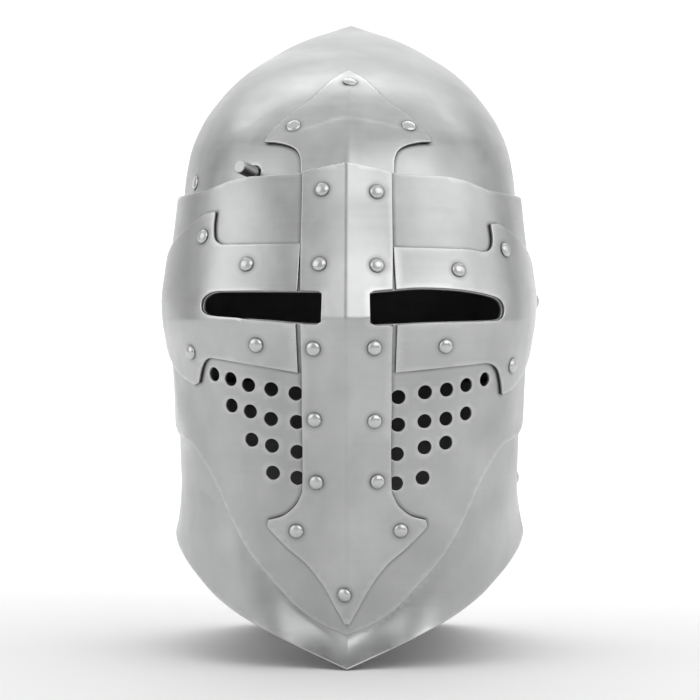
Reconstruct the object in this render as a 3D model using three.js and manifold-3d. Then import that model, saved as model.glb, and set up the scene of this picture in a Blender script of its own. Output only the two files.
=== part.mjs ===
// Great bascinet: a pointed steel skull, a pivoting visor with a riveted cross, and flared throat plates.
// Millimetres, +Z up, the face looks along -Y. Angles run round the helm from its keel line at the front.

import * as THREE from 'three';
import { mergeVertices } from 'three/addons/utils/BufferGeometryUtils.js';
import Module from 'manifold-3d';

const wasm = await Module();
wasm.setup();

// Driving sizes
const HELM_HEIGHT = 409.5;
const SKULL_HALF_WIDTH = 112.5;
const SKULL_REACH = 148;
const SKULL_REAR = 126;
const SKULL_KEEL = 3;
const VISOR_SIDE_ROOM = 5.2;
const VISOR_FRONT_ROOM = 20;
const VISOR_REAR_ROOM = 1;
const VISOR_HALF_WIDTH = SKULL_HALF_WIDTH + VISOR_SIDE_ROOM;
const VISOR_REACH = SKULL_REACH + VISOR_FRONT_ROOM;
const VISOR_REAR = SKULL_REAR + VISOR_REAR_ROOM;
const VISOR_KEEL = 7;
const RIM_SIDE_FLARE = 0.5;
const RIM_FRONT_SET_BACK = 18;
const RIM_REAR_SET_BACK = 2;
const RIM_HALF_WIDTH = SKULL_HALF_WIDTH + RIM_SIDE_FLARE;
const RIM_REACH = VISOR_REACH - RIM_FRONT_SET_BACK;
const RIM_REAR = SKULL_REAR - RIM_REAR_SET_BACK;
const SKULL_WALL = 1.8;
const VISOR_WALL = 2;
const THROAT_WALL = 1.8;
const UPRIGHT_WALL = 2.4;
const ARM_WALL = 1.8;
const FINIAL_WALL = 1.8;
const PLATE_GAP = 0.3;
const SLIDING_GAP = 0.6;
const RIVET_RADIUS = 4.4;
const RIVET_RISE = 2.8;
const LOW_RIVET_RISE = 1.4;
const BREATH_RADIUS = 4.2;
const PIVOT_HEAD_RADIUS = 5.2;
const PIVOT_HEAD_RISE = 3.2;
const PIVOT_SHANK_RADIUS = 3;
const PIVOT_COLLAR_RADIUS = 5;
const PIVOT_FACE_GAP = 0.9;
const TURNING_GAP = 0.3;
const CATCH_RADIUS = 4.1;
const CATCH_PROUD = 15.5;
const CATCH_FLANGE_RADIUS = 6.4;
const CATCH_FLANGE_WALL = 2;
const CATCH_FLANGE_GAP = 1.6;
const CATCH_RISE = 0.19;
const CUTTER_REACH = 12;

// Where things sit, as shares of the helm's height, and angles in degrees
const PIVOT_SHARE = 0.541;
const PIVOT_ANGLE = 90;
const CATCH_ANGLE = -27;
const KEEL_ANGLE = 12;
const KEEL_FADE = 0.12;
const RIDGE_SHARE = 0.509;
const BEVOR_END_ANGLE = 108;
const NECK_START_ANGLE = 81;
const SKULL_POWER = 2.3;
const VISOR_POWER = 3;
const RIM_POWER = 2.4;
const FLARE_POWER = 1.7;

// Facets
const ROUND_SIDES = 10;
const SHELL_ANGLES = [
  0, 6, 12, 18, 24, 29, 33, 38, 44, 52, 61, 71, 81, 90, 98, 108, 120, 134, 148, 160, 180,
];

const DEGREE = Math.PI / 180;
const UP = new THREE.Vector3(0, 0, 1);

// A table with named columns: each row becomes an object
function table(columns, rows) {
  return rows.map((row) => Object.fromEntries(columns.map((name, i) => [name, row[i]])));
}

// Skull sections: height as a share of the helm's, half width, depth before and behind the section's
// middle, and how far that lies behind the pivot line, as shares of the skull's half width, reach and rear
const SKULL_SECTIONS = table(['height', 'width', 'front', 'back', 'middle'], [
  [0.185, 0.918, 0.900, 0.730, 0],
  [0.262, 0.922, 0.910, 0.762, 0],
  [0.366, 0.932, 0.946, 0.830, 0],
  [0.440, 0.948, 0.970, 0.890, 0],
  [0.541, 0.983, 0.980, 0.968, 0],
  [0.647, 0.968, 0.930, 1.000, 0],
  [0.724, 0.950, 0.860, 0.990, 0],
  [0.770, 0.923, 0.814, 0.956, 0.016],
  [0.818, 0.860, 0.734, 0.873, 0.063],
  [0.868, 0.742, 0.613, 0.762, 0.127],
  [0.904, 0.626, 0.500, 0.635, 0.206],
  [0.945, 0.436, 0.3135, 0.413, 0.333],
  [0.964, 0.329, 0.228, 0.293, 0.397],
  [0.976, 0.240, 0.167, 0.206, 0.437],
  [0.984, 0.162, 0.105, 0.151, 0.452],
  [1.000, 0.012, 0.0062, 0.008, 0.476],
]);

// Visor sections, as shares of the visor's half width, reach and rear
const VISOR_SECTIONS = table(['height', 'width', 'front', 'back', 'middle'], [
  [0.040, 0.900, 0.765, 0.827, 0],
  [0.147, 0.910, 0.815, 0.827, 0],
  [0.262, 0.937, 0.872, 0.850, 0],
  [0.325, 0.944, 0.905, 0.858, 0],
  [0.374, 0.950, 0.930, 0.876, 0],
  [0.410, 0.954, 0.950, 0.895, 0],
  [0.440, 0.961, 0.966, 0.912, 0],
  [0.476, 0.977, 0.984, 0.940, 0],
  [0.509, 0.994, 1.003, 0.965, 0],
  [0.541, 1.000, 0.978, 0.985, 0],
  [0.586, 0.984, 0.942, 1.000, 0],
  [0.647, 0.956, 0.892, 1.000, 0],
  [0.691, 0.943, 0.855, 1.000, 0],
  [0.737, 0.931, 0.813, 1.000, 0],
]);

// The visor's outline: its upper and lower edge at each angle
const VISOR_TOP = table(['angle', 'height'], [
  [0, 0.7350], [6, 0.7290], [12, 0.7215], [18, 0.7190], [24, 0.7180], [29, 0.7130], [33, 0.7060],
  [37, 0.7000], [46, 0.6975], [67, 0.6985], [83, 0.6980], [91, 0.6900], [98, 0.6400],
]);
const VISOR_FOOT = table(['angle', 'height'], [
  [0, 0.0480], [6, 0.0600], [12, 0.0820], [18, 0.1200], [24, 0.1640], [29, 0.2200], [33, 0.2740],
  [37, 0.3040], [41, 0.3240], [52, 0.3360], [67, 0.3560], [75, 0.3780], [83, 0.4120], [91, 0.4400],
  [98, 0.4700],
]);

// Throat plates: hidden top edge, waist where the flare starts, and rim
const THROAT_EDGES = table(['angle', 'top', 'waist', 'rim'], [
  [0, 0.236, 0.046, 0.000], [6, 0.237, 0.058, 0.015], [12, 0.240, 0.080, 0.030],
  [18, 0.250, 0.118, 0.046], [24, 0.270, 0.160, 0.062], [29, 0.295, 0.208, 0.076],
  [33, 0.322, 0.236, 0.088], [37, 0.346, 0.250, 0.100], [41, 0.362, 0.257, 0.113],
  [46, 0.373, 0.261, 0.127], [59, 0.392, 0.264, 0.155], [75, 0.406, 0.263, 0.174],
  [91, 0.412, 0.262, 0.181], [106, 0.412, 0.255, 0.172], [116, 0.412, 0.246, 0.150],
  [128, 0.412, 0.230, 0.110], [140, 0.412, 0.210, 0.064], [150, 0.412, 0.198, 0.026],
  [160, 0.412, 0.190, 0.000], [180, 0.412, 0.185, 0.000],
]);

// The skull's lower edge, which leaves the face open
const SKULL_FOOT = table(['angle', 'height'], [
  [0, 0.668], [44, 0.668], [52, 0.640], [61, 0.520], [71, 0.410], [81, 0.380], [98, 0.369], [108, 0.368],
  [180, 0.366],
]);

// Eye slots: upper and lower edge at each angle, one table for each eye
const SLOT_LEFT = table(['angle', 'top', 'foot'], [
  [-4.8, 0.5467, 0.5015], [-9.5, 0.5470, 0.5028], [-16, 0.5474, 0.5068], [-24, 0.5476, 0.5105],
  [-28, 0.5472, 0.5130], [-30, 0.5430, 0.5165], [-31.2, 0.5360, 0.5240],
]);
const SLOT_RIGHT = table(['angle', 'top', 'foot'], [
  [4.5, 0.5460, 0.5000], [9.5, 0.5487, 0.5010], [15, 0.5515, 0.5030], [22, 0.5500, 0.5045],
  [28, 0.5455, 0.5060], [33, 0.5385, 0.5085], [34.6, 0.5290, 0.5180],
]);

// Breath holes, row by row
const BREATHS = table(['angle', 'height'], [
  [-29.6, 0.4285], [-25.2, 0.4217], [-21.0, 0.4132], [-16.0, 0.4073], [-10.8, 0.4015],
  [-25.6, 0.3833], [-21.1, 0.3750], [-16.5, 0.3643], [-10.8, 0.3602],
  [-21.3, 0.3338], [-16.7, 0.3255], [-11.0, 0.3166],
  [-16.9, 0.2859], [-11.3, 0.2788],
  [10.9, 0.3961], [16.6, 0.4029], [21.4, 0.4066], [26.1, 0.4130], [31.2, 0.4211],
  [11.1, 0.3562], [16.9, 0.3611], [21.8, 0.3645], [26.7, 0.3717],
  [11.1, 0.3137], [17.3, 0.3231], [22.2, 0.3295],
  [11.2, 0.2707], [17.3, 0.2787],
]);

// The upright with its foot finial, and the brow finial: half their width, in degrees, at each height
const UPRIGHT = table(['height', 'angle'], [
  [0.0655, 0.5], [0.0902, 2.7], [0.1139, 5.0], [0.1346, 7.4], [0.1538, 10.1], [0.1763, 14.3],
  [0.2010, 18.0], [0.2170, 18.5], [0.2250, 14.8], [0.2410, 11.8], [0.2590, 10.2], [0.3200, 9.7],
  [0.3800, 9.5], [0.4330, 9.2], [0.5090, 9.1], [0.5490, 9.4], [0.6130, 9.9], [0.6800, 10.4],
  [0.7420, 10.8],
]);
const BROW_FINIAL = table(['height', 'angle'], [
  [0.7240, 12.4], [0.7460, 13.1], [0.7570, 14.4], [0.7640, 16.8], [0.7690, 20.6], [0.7715, 24.2],
  [0.7890, 22.9], [0.8020, 20.8], [0.8170, 17.8], [0.8330, 13.7], [0.8565, 9.5], [0.8720, 6.0],
  [0.8830, 3.8], [0.8868, 2.0],
]);

// Each cross arm widens into a leaf that ends behind its pivot
const ARM_LEFT = table(['angle', 'top', 'foot'], [
  [10.6, 0.616, 0.4320], [19, 0.616, 0.4425], [26.8, 0.616, 0.4510], [29, 0.619, 0.4530],
  [30.8, 0.634, 0.4530], [31.6, 0.666, 0.4490], [32.6, 0.668, 0.4400], [34.4, 0.664, 0.4160],
  [36.2, 0.658, 0.4130], [43, 0.643, 0.4270], [54, 0.622, 0.4530], [67, 0.599, 0.4790],
  [83, 0.577, 0.5040], [91, 0.564, 0.5180], [95, 0.549, 0.5330],
]);
const ARM_RIGHT = table(['angle', 'top', 'foot'], [
  [10.6, 0.611, 0.4320], [19, 0.612, 0.4385], [26, 0.609, 0.4430], [30, 0.606, 0.4450],
  [32.8, 0.613, 0.4420], [34, 0.626, 0.4378], [34.6, 0.650, 0.4350], [35.8, 0.653, 0.4240],
  [37.2, 0.649, 0.4000], [43, 0.638, 0.4090], [54, 0.616, 0.4410], [67, 0.596, 0.4710],
  [83, 0.577, 0.5030], [91, 0.564, 0.5180], [95, 0.549, 0.5330],
]);

// Rivets: the plate that each goes through, and its place on it
const RIVETS = table(['name', 'plate', 'angle', 'height'], [
  ['brow_top', 'finial', 0.4, 0.866], ['brow_left', 'finial', -16.4, 0.7935],
  ['brow_right', 'finial', 18.4, 0.7935],
  ['upright_left_1', 'upright', -5.5, 0.694], ['upright_right_1', 'upright', 6.7, 0.6905],
  ['upright_left_2', 'upright', -5.5, 0.585], ['upright_right_2', 'upright', 6.1, 0.583],
  ['upright_left_3', 'upright', -6.5, 0.467], ['upright_right_3', 'upright', 5.4, 0.468],
  ['upright_left_4', 'upright', -6.7, 0.365], ['upright_right_4', 'upright', 5.7, 0.363],
  ['upright_left_5', 'upright', -6.7, 0.274], ['upright_right_5', 'upright', 6.7, 0.2755],
  ['foot_left', 'upright', -12, 0.2023], ['foot_right', 'upright', 12.7, 0.2033],
  ['foot_point', 'upright', -0.2, 0.1095],
  ['arm_left_1', 'arm', -21.2, 0.586], ['arm_left_2', 'arm', -18.3, 0.472],
  ['arm_right_1', 'arm', 23.6, 0.578], ['arm_right_2', 'arm', 20, 0.4705],
  ['leaf_left_1', 'arm', -34, 0.629], ['leaf_left_2', 'arm', -35.7, 0.4615],
  ['leaf_right_1', 'arm', 38, 0.610], ['leaf_right_2', 'arm', 40.3, 0.4415],
  ['throat_left_1', 'throat', -90, 0.386], ['throat_left_2', 'throat', -90, 0.262],
  ['throat_right_1', 'throat', 90, 0.386], ['throat_right_2', 'throat', 90, 0.262],
  ['skull_left', 'skull', -55.5, 0.7190],
  ['nape_left_1', 'skull', -122, 0.386], ['nape_right_1', 'skull', 122, 0.386],
  ['nape_left_2', 'skull', -158, 0.386], ['nape_right_2', 'skull', 158, 0.386],
]);

// One column of a table at a place between its rows, on a smooth curve that never overshoots
function smooth(rows, key, column, at) {
  const last = rows.length - 1;
  const place = THREE.MathUtils.clamp(at, rows[0][key], rows[last][key]);
  let i = 0;
  while (i < last - 1 && rows[i + 1][key] < place) i += 1;
  const secant = (k) => (rows[k + 1][column] - rows[k][column]) / (rows[k + 1][key] - rows[k][key]);
  const slope = (k) => {
    if (k === 0) return secant(0);
    if (k === last) return secant(last - 1);
    const before = secant(k - 1);
    const after = secant(k);
    return before * after <= 0 ? 0 : (2 * before * after) / (before + after);
  };
  const span = rows[i + 1][key] - rows[i][key];
  const s = (place - rows[i][key]) / span;
  const start = rows[i][column];
  const end = rows[i + 1][column];
  const bend = (s - 1) ** 2 * s * span * slope(i) + s ** 2 * (s - 1) * span * slope(i + 1);
  return start + (end - start) * s ** 2 * (3 - 2 * s) + bend;
}

// A column between its rows in straight lines, for edges that turn sharply
function straight(rows, key, column, at) {
  const last = rows.length - 1;
  const place = THREE.MathUtils.clamp(at, rows[0][key], rows[last][key]);
  let i = 0;
  while (i < last - 1 && rows[i + 1][key] < place) i += 1;
  const s = (place - rows[i][key]) / (rows[i + 1][key] - rows[i][key]);
  return THREE.MathUtils.lerp(rows[i][column], rows[i + 1][column], s);
}

// A point of a rounded, keeled section at an angle from the keel line
function onSection(angle, section) {
  const turn = angle * DEGREE;
  const across = Math.abs(Math.sin(turn)) / section.width;
  const depth = Math.cos(turn) >= 0 ? section.front : section.back;
  const along = Math.abs(Math.cos(turn)) / depth;
  const keelShare = Math.max(0, 1 - Math.abs(angle) / KEEL_ANGLE);
  const { power } = section;
  const radius = (across ** power + along ** power) ** (-1 / power) + section.keel * keelShare ** 2;
  return new THREE.Vector3(radius * Math.sin(turn), section.middle - radius * Math.cos(turn), 0);
}

// The section of a plate at a height, all round smaller by an inset
function sectionAt(rows, share, inset, { halfWidth, reach, rear }) {
  return {
    width: smooth(rows, 'height', 'width', share) * halfWidth - inset,
    front: smooth(rows, 'height', 'front', share) * reach - inset,
    back: smooth(rows, 'height', 'back', share) * rear - inset,
    middle: smooth(rows, 'height', 'middle', share) * rear,
  };
}

const SKULL_SIZE = { halfWidth: SKULL_HALF_WIDTH, reach: SKULL_REACH, rear: SKULL_REAR };
const VISOR_SIZE = { halfWidth: VISOR_HALF_WIDTH, reach: VISOR_REACH, rear: VISOR_REAR };

function skullPoint(angle, share, inset = 0) {
  const section = sectionAt(SKULL_SECTIONS, share, inset, SKULL_SIZE);
  const keel = SKULL_KEEL * Math.min(1, (1 - share) / KEEL_FADE);
  return onSection(angle, { ...section, keel, power: SKULL_POWER }).setZ(share * HELM_HEIGHT);
}

function visorPoint(angle, share, inset = 0) {
  const section = sectionAt(VISOR_SECTIONS, share, inset, VISOR_SIZE);
  return onSection(angle, { ...section, keel: VISOR_KEEL, power: VISOR_POWER }).setZ(share * HELM_HEIGHT);
}

// The way a surface faces, from its slopes
function facing(surface, angle, share) {
  const small = 0.02;
  const round = surface(angle + small, share).sub(surface(angle - small, share));
  const rise = surface(angle, share + small / 100).sub(surface(angle, share - small / 100));
  return round.cross(rise).normalize();
}

// The throat plates flare from their waist to the rim. The bevor follows the visor's inside above
// its waist, and the neck plate the skull's inside.
const bevorUpper = (angle, share) => visorPoint(angle, share, VISOR_WALL + SLIDING_GAP);
const neckUpper = (angle, share) => skullPoint(angle, share, SKULL_WALL + 2 * SLIDING_GAP);

function throatPoint(upper, inset, angle, share) {
  const round = Math.abs(angle);
  const waist = smooth(THROAT_EDGES, 'angle', 'waist', round);
  if (share >= waist) return upper(angle, share);
  const rim = smooth(THROAT_EDGES, 'angle', 'rim', round);
  const start = upper(angle, waist);
  const end = onSection(angle, {
    width: RIM_HALF_WIDTH - inset,
    front: RIM_REACH - VISOR_KEEL - inset,
    back: RIM_REAR - inset,
    middle: 0,
    keel: VISOR_KEEL,
    power: RIM_POWER,
  });
  const flare = ((waist - share) / (waist - rim)) ** FLARE_POWER;
  return new THREE.Vector3(
    THREE.MathUtils.lerp(start.x, end.x, flare),
    THREE.MathUtils.lerp(start.y, end.y, flare),
    share * HELM_HEIGHT,
  );
}

const bevorPoint = (angle, share) => throatPoint(bevorUpper, 0, angle, share);
const neckPoint = (angle, share) => throatPoint(neckUpper, THROAT_WALL + SLIDING_GAP, angle, share);

// Triangles of a wall between an outer and an inner sheet of points, both [column][row]
function wallGeometry(outer, inner, closedRound) {
  const columns = outer.length;
  const rows = outer[0].length;
  const positions = [];
  const add = (...corners) => corners.forEach((p) => positions.push(p.x, p.y, p.z));
  const quad = (a, b, c, d) => {
    add(a, b, c);
    add(a, c, d);
  };
  const steps = closedRound ? columns : columns - 1;
  for (let i = 0; i < steps; i += 1) {
    const j = (i + 1) % columns;
    for (let k = 0; k < rows - 1; k += 1) {
      quad(outer[i][k], outer[j][k], outer[j][k + 1], outer[i][k + 1]);
      quad(inner[j][k], inner[i][k], inner[i][k + 1], inner[j][k + 1]);
    }
    quad(inner[i][0], inner[j][0], outer[j][0], outer[i][0]);
    quad(outer[i][rows - 1], outer[j][rows - 1], inner[j][rows - 1], inner[i][rows - 1]);
  }
  if (!closedRound) {
    for (let k = 0; k < rows - 1; k += 1) {
      const end = columns - 1;
      quad(inner[0][k], outer[0][k], outer[0][k + 1], inner[0][k + 1]);
      quad(outer[end][k], inner[end][k], inner[end][k + 1], outer[end][k + 1]);
    }
  }
  const geometry = new THREE.BufferGeometry();
  geometry.setAttribute('position', new THREE.Float32BufferAttribute(positions, 3));
  return geometry;
}

// A closed mesh as a solid that can be cut, and back
function toSolid(geometry) {
  const bare = geometry.clone();
  bare.deleteAttribute('normal');
  bare.deleteAttribute('uv');
  const merged = mergeVertices(bare, 1e-4);
  const index = merged.index.array;
  const kept = [];
  for (let i = 0; i < index.length; i += 3) {
    const [a, b, c] = [index[i], index[i + 1], index[i + 2]];
    if (a !== b && b !== c && c !== a) kept.push(a, b, c);
  }
  const mesh = new wasm.Mesh({
    numProp: 3,
    vertProperties: Float32Array.from(merged.attributes.position.array),
    triVerts: Uint32Array.from(kept),
  });
  return new wasm.Manifold(mesh);
}

function toGeometry(solid) {
  const mesh = solid.getMesh();
  const geometry = new THREE.BufferGeometry();
  geometry.setAttribute('position', new THREE.BufferAttribute(mesh.vertProperties, 3));
  geometry.setIndex(new THREE.BufferAttribute(mesh.triVerts, 1));
  return geometry;
}

function cut(body, cutters) {
  return cutters.reduce((rest, cutter) => rest.subtract(cutter), body);
}

// A curved plate on a surface: its columns run round the helm, each through its own list of heights
function plate(surface, rise, wall, angles, sharesAt) {
  const columns = angles.map((angle) => sharesAt(angle).map((share) => (
    { point: surface(angle, share), way: facing(surface, angle, share) })));
  const lifted = (distance) =>
    columns.map((column) => column.map(({ point, way }) => point.clone().addScaledVector(way, distance)));
  return wallGeometry(lifted(rise), lifted(rise - wall), false);
}

function evenly(from, to, steps) {
  return Array.from({ length: steps + 1 }, (_, k) => THREE.MathUtils.lerp(from, to, k / steps));
}

// A plate whose rows run across the keel line, each to its own half width
function keeledPlate(surface, rise, wall, rows, shares) {
  const across = rows.map(({ height, angle }) =>
    shares.map((share) => ({
      point: surface(share * angle, height),
      way: facing(surface, share * angle, height),
    })));
  const lifted = (distance) => shares.map((_, i) =>
    across.map((row) => row[i].point.clone().addScaledVector(row[i].way, distance)));
  return wallGeometry(lifted(rise), lifted(rise - wall), false);
}

function mirrored(angles) {
  return [...angles.slice(1).reverse().map((angle) => -angle), ...angles];
}

function placed(geometry, point, way) {
  const turn = new THREE.Quaternion().setFromUnitVectors(UP, way);
  return geometry.applyQuaternion(turn).translate(point.x, point.y, point.z);
}

function lathe(profile) {
  const geometry = new THREE.LatheGeometry(profile.map(([r, h]) => new THREE.Vector2(r, h)), ROUND_SIDES);
  return geometry.rotateX(Math.PI / 2);
}

const steel = (color, roughness) => new THREE.MeshStandardMaterial({ color, metalness: 0.95, roughness });
const PLATE_STEEL = 0xb4b6b8;
const CROSS_STEEL = 0xbfc1c3;
const RIVET_STEEL = 0xd0d2d4;
const PIN_STEEL = 0x8c8f92;

const helm = new THREE.Group();

function piece(name, geometry, color, roughness) {
  const mesh = new THREE.Mesh(geometry, steel(color, roughness));
  mesh.name = name;
  helm.add(mesh);
  return mesh;
}

// Pivots: the line through them is the visor's hinge
const pivotVisor = visorPoint(PIVOT_ANGLE, PIVOT_SHARE);
const pivotSkull = skullPoint(PIVOT_ANGLE, PIVOT_SHARE);
const pivotHeight = PIVOT_SHARE * HELM_HEIGHT;

function crossRod(radius, fromX, toX) {
  const rod = new THREE.CylinderGeometry(radius, radius, Math.abs(toX - fromX), ROUND_SIDES);
  return rod.rotateZ(Math.PI / 2).translate((fromX + toX) / 2, 0, pivotHeight);
}

// The catch pin stands on the skull just above the visor's upper edge
const catchShare = straight(VISOR_TOP, 'angle', 'height', Math.abs(CATCH_ANGLE))
  + (CATCH_RADIUS + TURNING_GAP + PLATE_GAP) / HELM_HEIGHT;
const catchSeat = skullPoint(CATCH_ANGLE, catchShare);
const catchWay = facing(skullPoint, CATCH_ANGLE, catchShare).setZ(CATCH_RISE).normalize();

function skullSheets(rise, wall) {
  const rowShares = [0, 0.13, 0.27, 0.43, 0.6, 0.75, 0.87, 0.95, 0.985, 1];
  const angles = [...SHELL_ANGLES.slice(0, -1), ...SHELL_ANGLES.slice(1).reverse().map((angle) => -angle)];
  const top = SKULL_SECTIONS.at(-1).height;
  const column = (angle, inward) => {
    const foot = smooth(SKULL_FOOT, 'angle', 'height', Math.abs(angle));
    return rowShares.map((rowShare) => {
      const share = THREE.MathUtils.lerp(foot, top, rowShare);
      const point = skullPoint(angle, share);
      const apex = new THREE.Vector3(0, point.y, top * HELM_HEIGHT - inward);
      if (rowShare === 1) return apex.setY(SKULL_SECTIONS.at(-1).middle * SKULL_REAR);
      return point.addScaledVector(facing(skullPoint, angle, share), -inward);
    });
  };
  const sheet = (inward) => angles.map((angle) => column(angle, inward));
  return toSolid(wallGeometry(sheet(-rise), sheet(wall - rise), true));
}

// The skull's outer face raised by the gap, which the brow finial is cut to
const skullSeat = skullSheets(PLATE_GAP, 4 * SKULL_WALL);

function makeSkull() {
  const shell = skullSheets(0, SKULL_WALL);
  const bore = PIVOT_SHANK_RADIUS + TURNING_GAP;
  const pinBore = new THREE.CylinderGeometry(
    CATCH_RADIUS + TURNING_GAP, CATCH_RADIUS + TURNING_GAP, CUTTER_REACH, ROUND_SIDES,
  ).rotateX(Math.PI / 2);
  return cut(shell, [
    toSolid(crossRod(bore, pivotSkull.x - CUTTER_REACH, pivotSkull.x + CUTTER_REACH)),
    toSolid(crossRod(bore, -pivotSkull.x - CUTTER_REACH, CUTTER_REACH - pivotSkull.x)),
    toSolid(placed(pinBore, catchSeat, catchWay)),
  ]);
}

const visorAngles = mirrored(SHELL_ANGLES.filter((angle) => angle <= VISOR_TOP.at(-1).angle));
const visorFoot = (angle) => straight(VISOR_FOOT, 'angle', 'height', Math.abs(angle));
const visorTop = (angle) => straight(VISOR_TOP, 'angle', 'height', Math.abs(angle));
const visorSharesTo = (drop) => (angle) => [
  ...evenly(visorFoot(angle), RIDGE_SHARE, 6),
  ...evenly(RIDGE_SHARE, visorTop(angle) - drop / HELM_HEIGHT, 4).slice(1),
];
const visorShares = visorSharesTo(0);

function slotCutter(rows) {
  const ordered = [...rows].sort((a, b) => a.angle - b.angle);
  const ends = (angle) => [
    straight(ordered, 'angle', 'foot', angle), straight(ordered, 'angle', 'top', angle),
  ];
  const angles = ordered.map((row) => row.angle);
  return toSolid(plate(visorPoint, CUTTER_REACH, 2 * CUTTER_REACH, angles, ends));
}

const slotCutters = [slotCutter(SLOT_LEFT), slotCutter(SLOT_RIGHT)];

function makeVisor() {
  const shell = toSolid(plate(visorPoint, 0, VISOR_WALL, visorAngles, visorShares));
  const bore = PIVOT_SHANK_RADIUS + TURNING_GAP;
  const breaths = BREATHS.map(({ angle, height }) => {
    const drill = new THREE.CylinderGeometry(BREATH_RADIUS, BREATH_RADIUS, CUTTER_REACH, ROUND_SIDES);
    const way = facing(visorPoint, angle, height);
    return toSolid(placed(drill.rotateX(Math.PI / 2), visorPoint(angle, height), way));
  });
  return cut(shell, [
    ...slotCutters,
    ...breaths,
    toSolid(crossRod(bore, pivotVisor.x - CUTTER_REACH, pivotVisor.x + CUTTER_REACH)),
    toSolid(crossRod(bore, -pivotVisor.x - CUTTER_REACH, CUTTER_REACH - pivotVisor.x)),
  ]);
}

// The visor's outer face raised by the gap, which the cross is cut to so that it lies close
const seat = toSolid(plate(visorPoint, PLATE_GAP, CUTTER_REACH, visorAngles, visorShares));

// What lies straight out from the visor, which ends the upright just under the visor's upper edge
const footprint = toSolid(
  plate(visorPoint, CUTTER_REACH, 2 * CUTTER_REACH, visorAngles, visorSharesTo(PLATE_GAP)),
);

const UPRIGHT_COLUMNS = [-1, -0.5, 0, 0.5, 1];

function makeUpright() {
  const slab = keeledPlate(
    visorPoint, PLATE_GAP + UPRIGHT_WALL, 2 * UPRIGHT_WALL, UPRIGHT, UPRIGHT_COLUMNS,
  );
  return cut(toSolid(slab).intersect(footprint), [seat, ...slotCutters]);
}

function makeArm(rows, side) {
  const angles = rows.map((row) => side * row.angle).sort((a, b) => a - b);
  const shares = (angle) => {
    const foot = straight(rows, 'angle', 'foot', Math.abs(angle));
    const top = straight(rows, 'angle', 'top', Math.abs(angle));
    return [...evenly(foot, RIDGE_SHARE, 2), ...evenly(RIDGE_SHARE, top, 2).slice(1)];
  };
  const slab = plate(visorPoint, PLATE_GAP + ARM_WALL, 2 * ARM_WALL, angles, shares);
  const bore = PIVOT_SHANK_RADIUS + TURNING_GAP;
  const x = side * pivotVisor.x;
  const drill = toSolid(crossRod(bore, x - CUTTER_REACH, x + CUTTER_REACH));
  return cut(toSolid(slab), [seat, ...slotCutters, drill]);
}

function makeFinial() {
  const slab = keeledPlate(
    skullPoint, PLATE_GAP + FINIAL_WALL, 2 * FINIAL_WALL, BROW_FINIAL, UPRIGHT_COLUMNS,
  );
  return toSolid(slab).subtract(skullSeat);
}

const FLARE_ROWS = [0, 0.3, 0.58, 0.82];
const THROAT_ROWS = [0, 0.3, 0.65, 1];

// A throat plate over some angles, square cut at its rim
function throatShell(surface, angles) {
  const column = (angle, wall) => {
    const round = angle > 180 ? angle - 360 : angle;
    const [rim, waist, top] = ['rim', 'waist', 'top'].map((edge) =>
      smooth(THROAT_EDGES, 'angle', edge, Math.abs(round)));
    const shares = [
      ...FLARE_ROWS.map((row) => THREE.MathUtils.lerp(rim, waist, row)),
      ...THROAT_ROWS.map((row) => THREE.MathUtils.lerp(waist, top, row)),
    ];
    const outward = new THREE.Vector3(Math.sin(round * DEGREE), -Math.cos(round * DEGREE), 0);
    return shares.map((share, row) => {
      const way = row === 0 ? outward : facing(surface, round, share);
      return surface(round, share).addScaledVector(way, -wall);
    });
  };
  const sheet = (wall) => angles.map((angle) => column(angle, wall));
  return toSolid(wallGeometry(sheet(0), sheet(THROAT_WALL), false));
}

function makeBevor() {
  return throatShell(bevorPoint, mirrored(SHELL_ANGLES.filter((angle) => angle <= BEVOR_END_ANGLE)));
}

function makeNeckPlate() {
  const half = SHELL_ANGLES.filter((angle) => angle >= NECK_START_ANGLE);
  return throatShell(neckPoint, [...half, ...half.slice(0, -1).reverse().map((angle) => 360 - angle)]);
}

const parts = {
  skull: makeSkull(),
  neck_plate: makeNeckPlate(),
  bevor: makeBevor(),
  visor: makeVisor(),
  visor_upright: makeUpright(),
  visor_arm_left: makeArm(ARM_LEFT, -1),
  visor_arm_right: makeArm(ARM_RIGHT, 1),
  brow_finial: makeFinial(),
};
const plates = Object.fromEntries(Object.entries(parts).map(([name, solid]) => [name, toGeometry(solid)]));

// The surface that each rivet is placed by, the plates that it may lie on, and how far it stands up
const RIVET_SEATS = {
  finial: { surface: skullPoint, under: ['brow_finial', 'skull'], rise: LOW_RIVET_RISE },
  upright: { surface: visorPoint, under: ['visor_upright', 'visor'], rise: RIVET_RISE },
  arm: { surface: visorPoint, under: ['visor_arm_left', 'visor_arm_right', 'visor'], rise: RIVET_RISE },
  throat: { surface: bevorPoint, under: ['bevor'], rise: RIVET_RISE },
  skull: { surface: skullPoint, under: ['skull'], rise: LOW_RIVET_RISE },
};

// How high the plates stand over a point, anywhere under a rivet's head
function heightUnder(names, point, way) {
  const turn = new THREE.Quaternion().setFromUnitVectors(UP, way);
  const spots = evenly(0, 2 * Math.PI, ROUND_SIDES).map((angle) =>
    new THREE.Vector3(RIVET_RADIUS * Math.cos(angle), RIVET_RADIUS * Math.sin(angle), 0));
  const heights = [new THREE.Vector3(), ...spots].flatMap((spot) => {
    const start = spot.applyQuaternion(turn).add(point).addScaledVector(way, CUTTER_REACH);
    const ray = new THREE.Raycaster(start, way.clone().negate(), 0, 2 * CUTTER_REACH);
    const targets = names.map((name) => new THREE.Mesh(plates[name]));
    return ray.intersectObjects(targets).map((hit) => CUTTER_REACH - hit.distance);
  });
  return Math.max(...heights);
}

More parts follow.
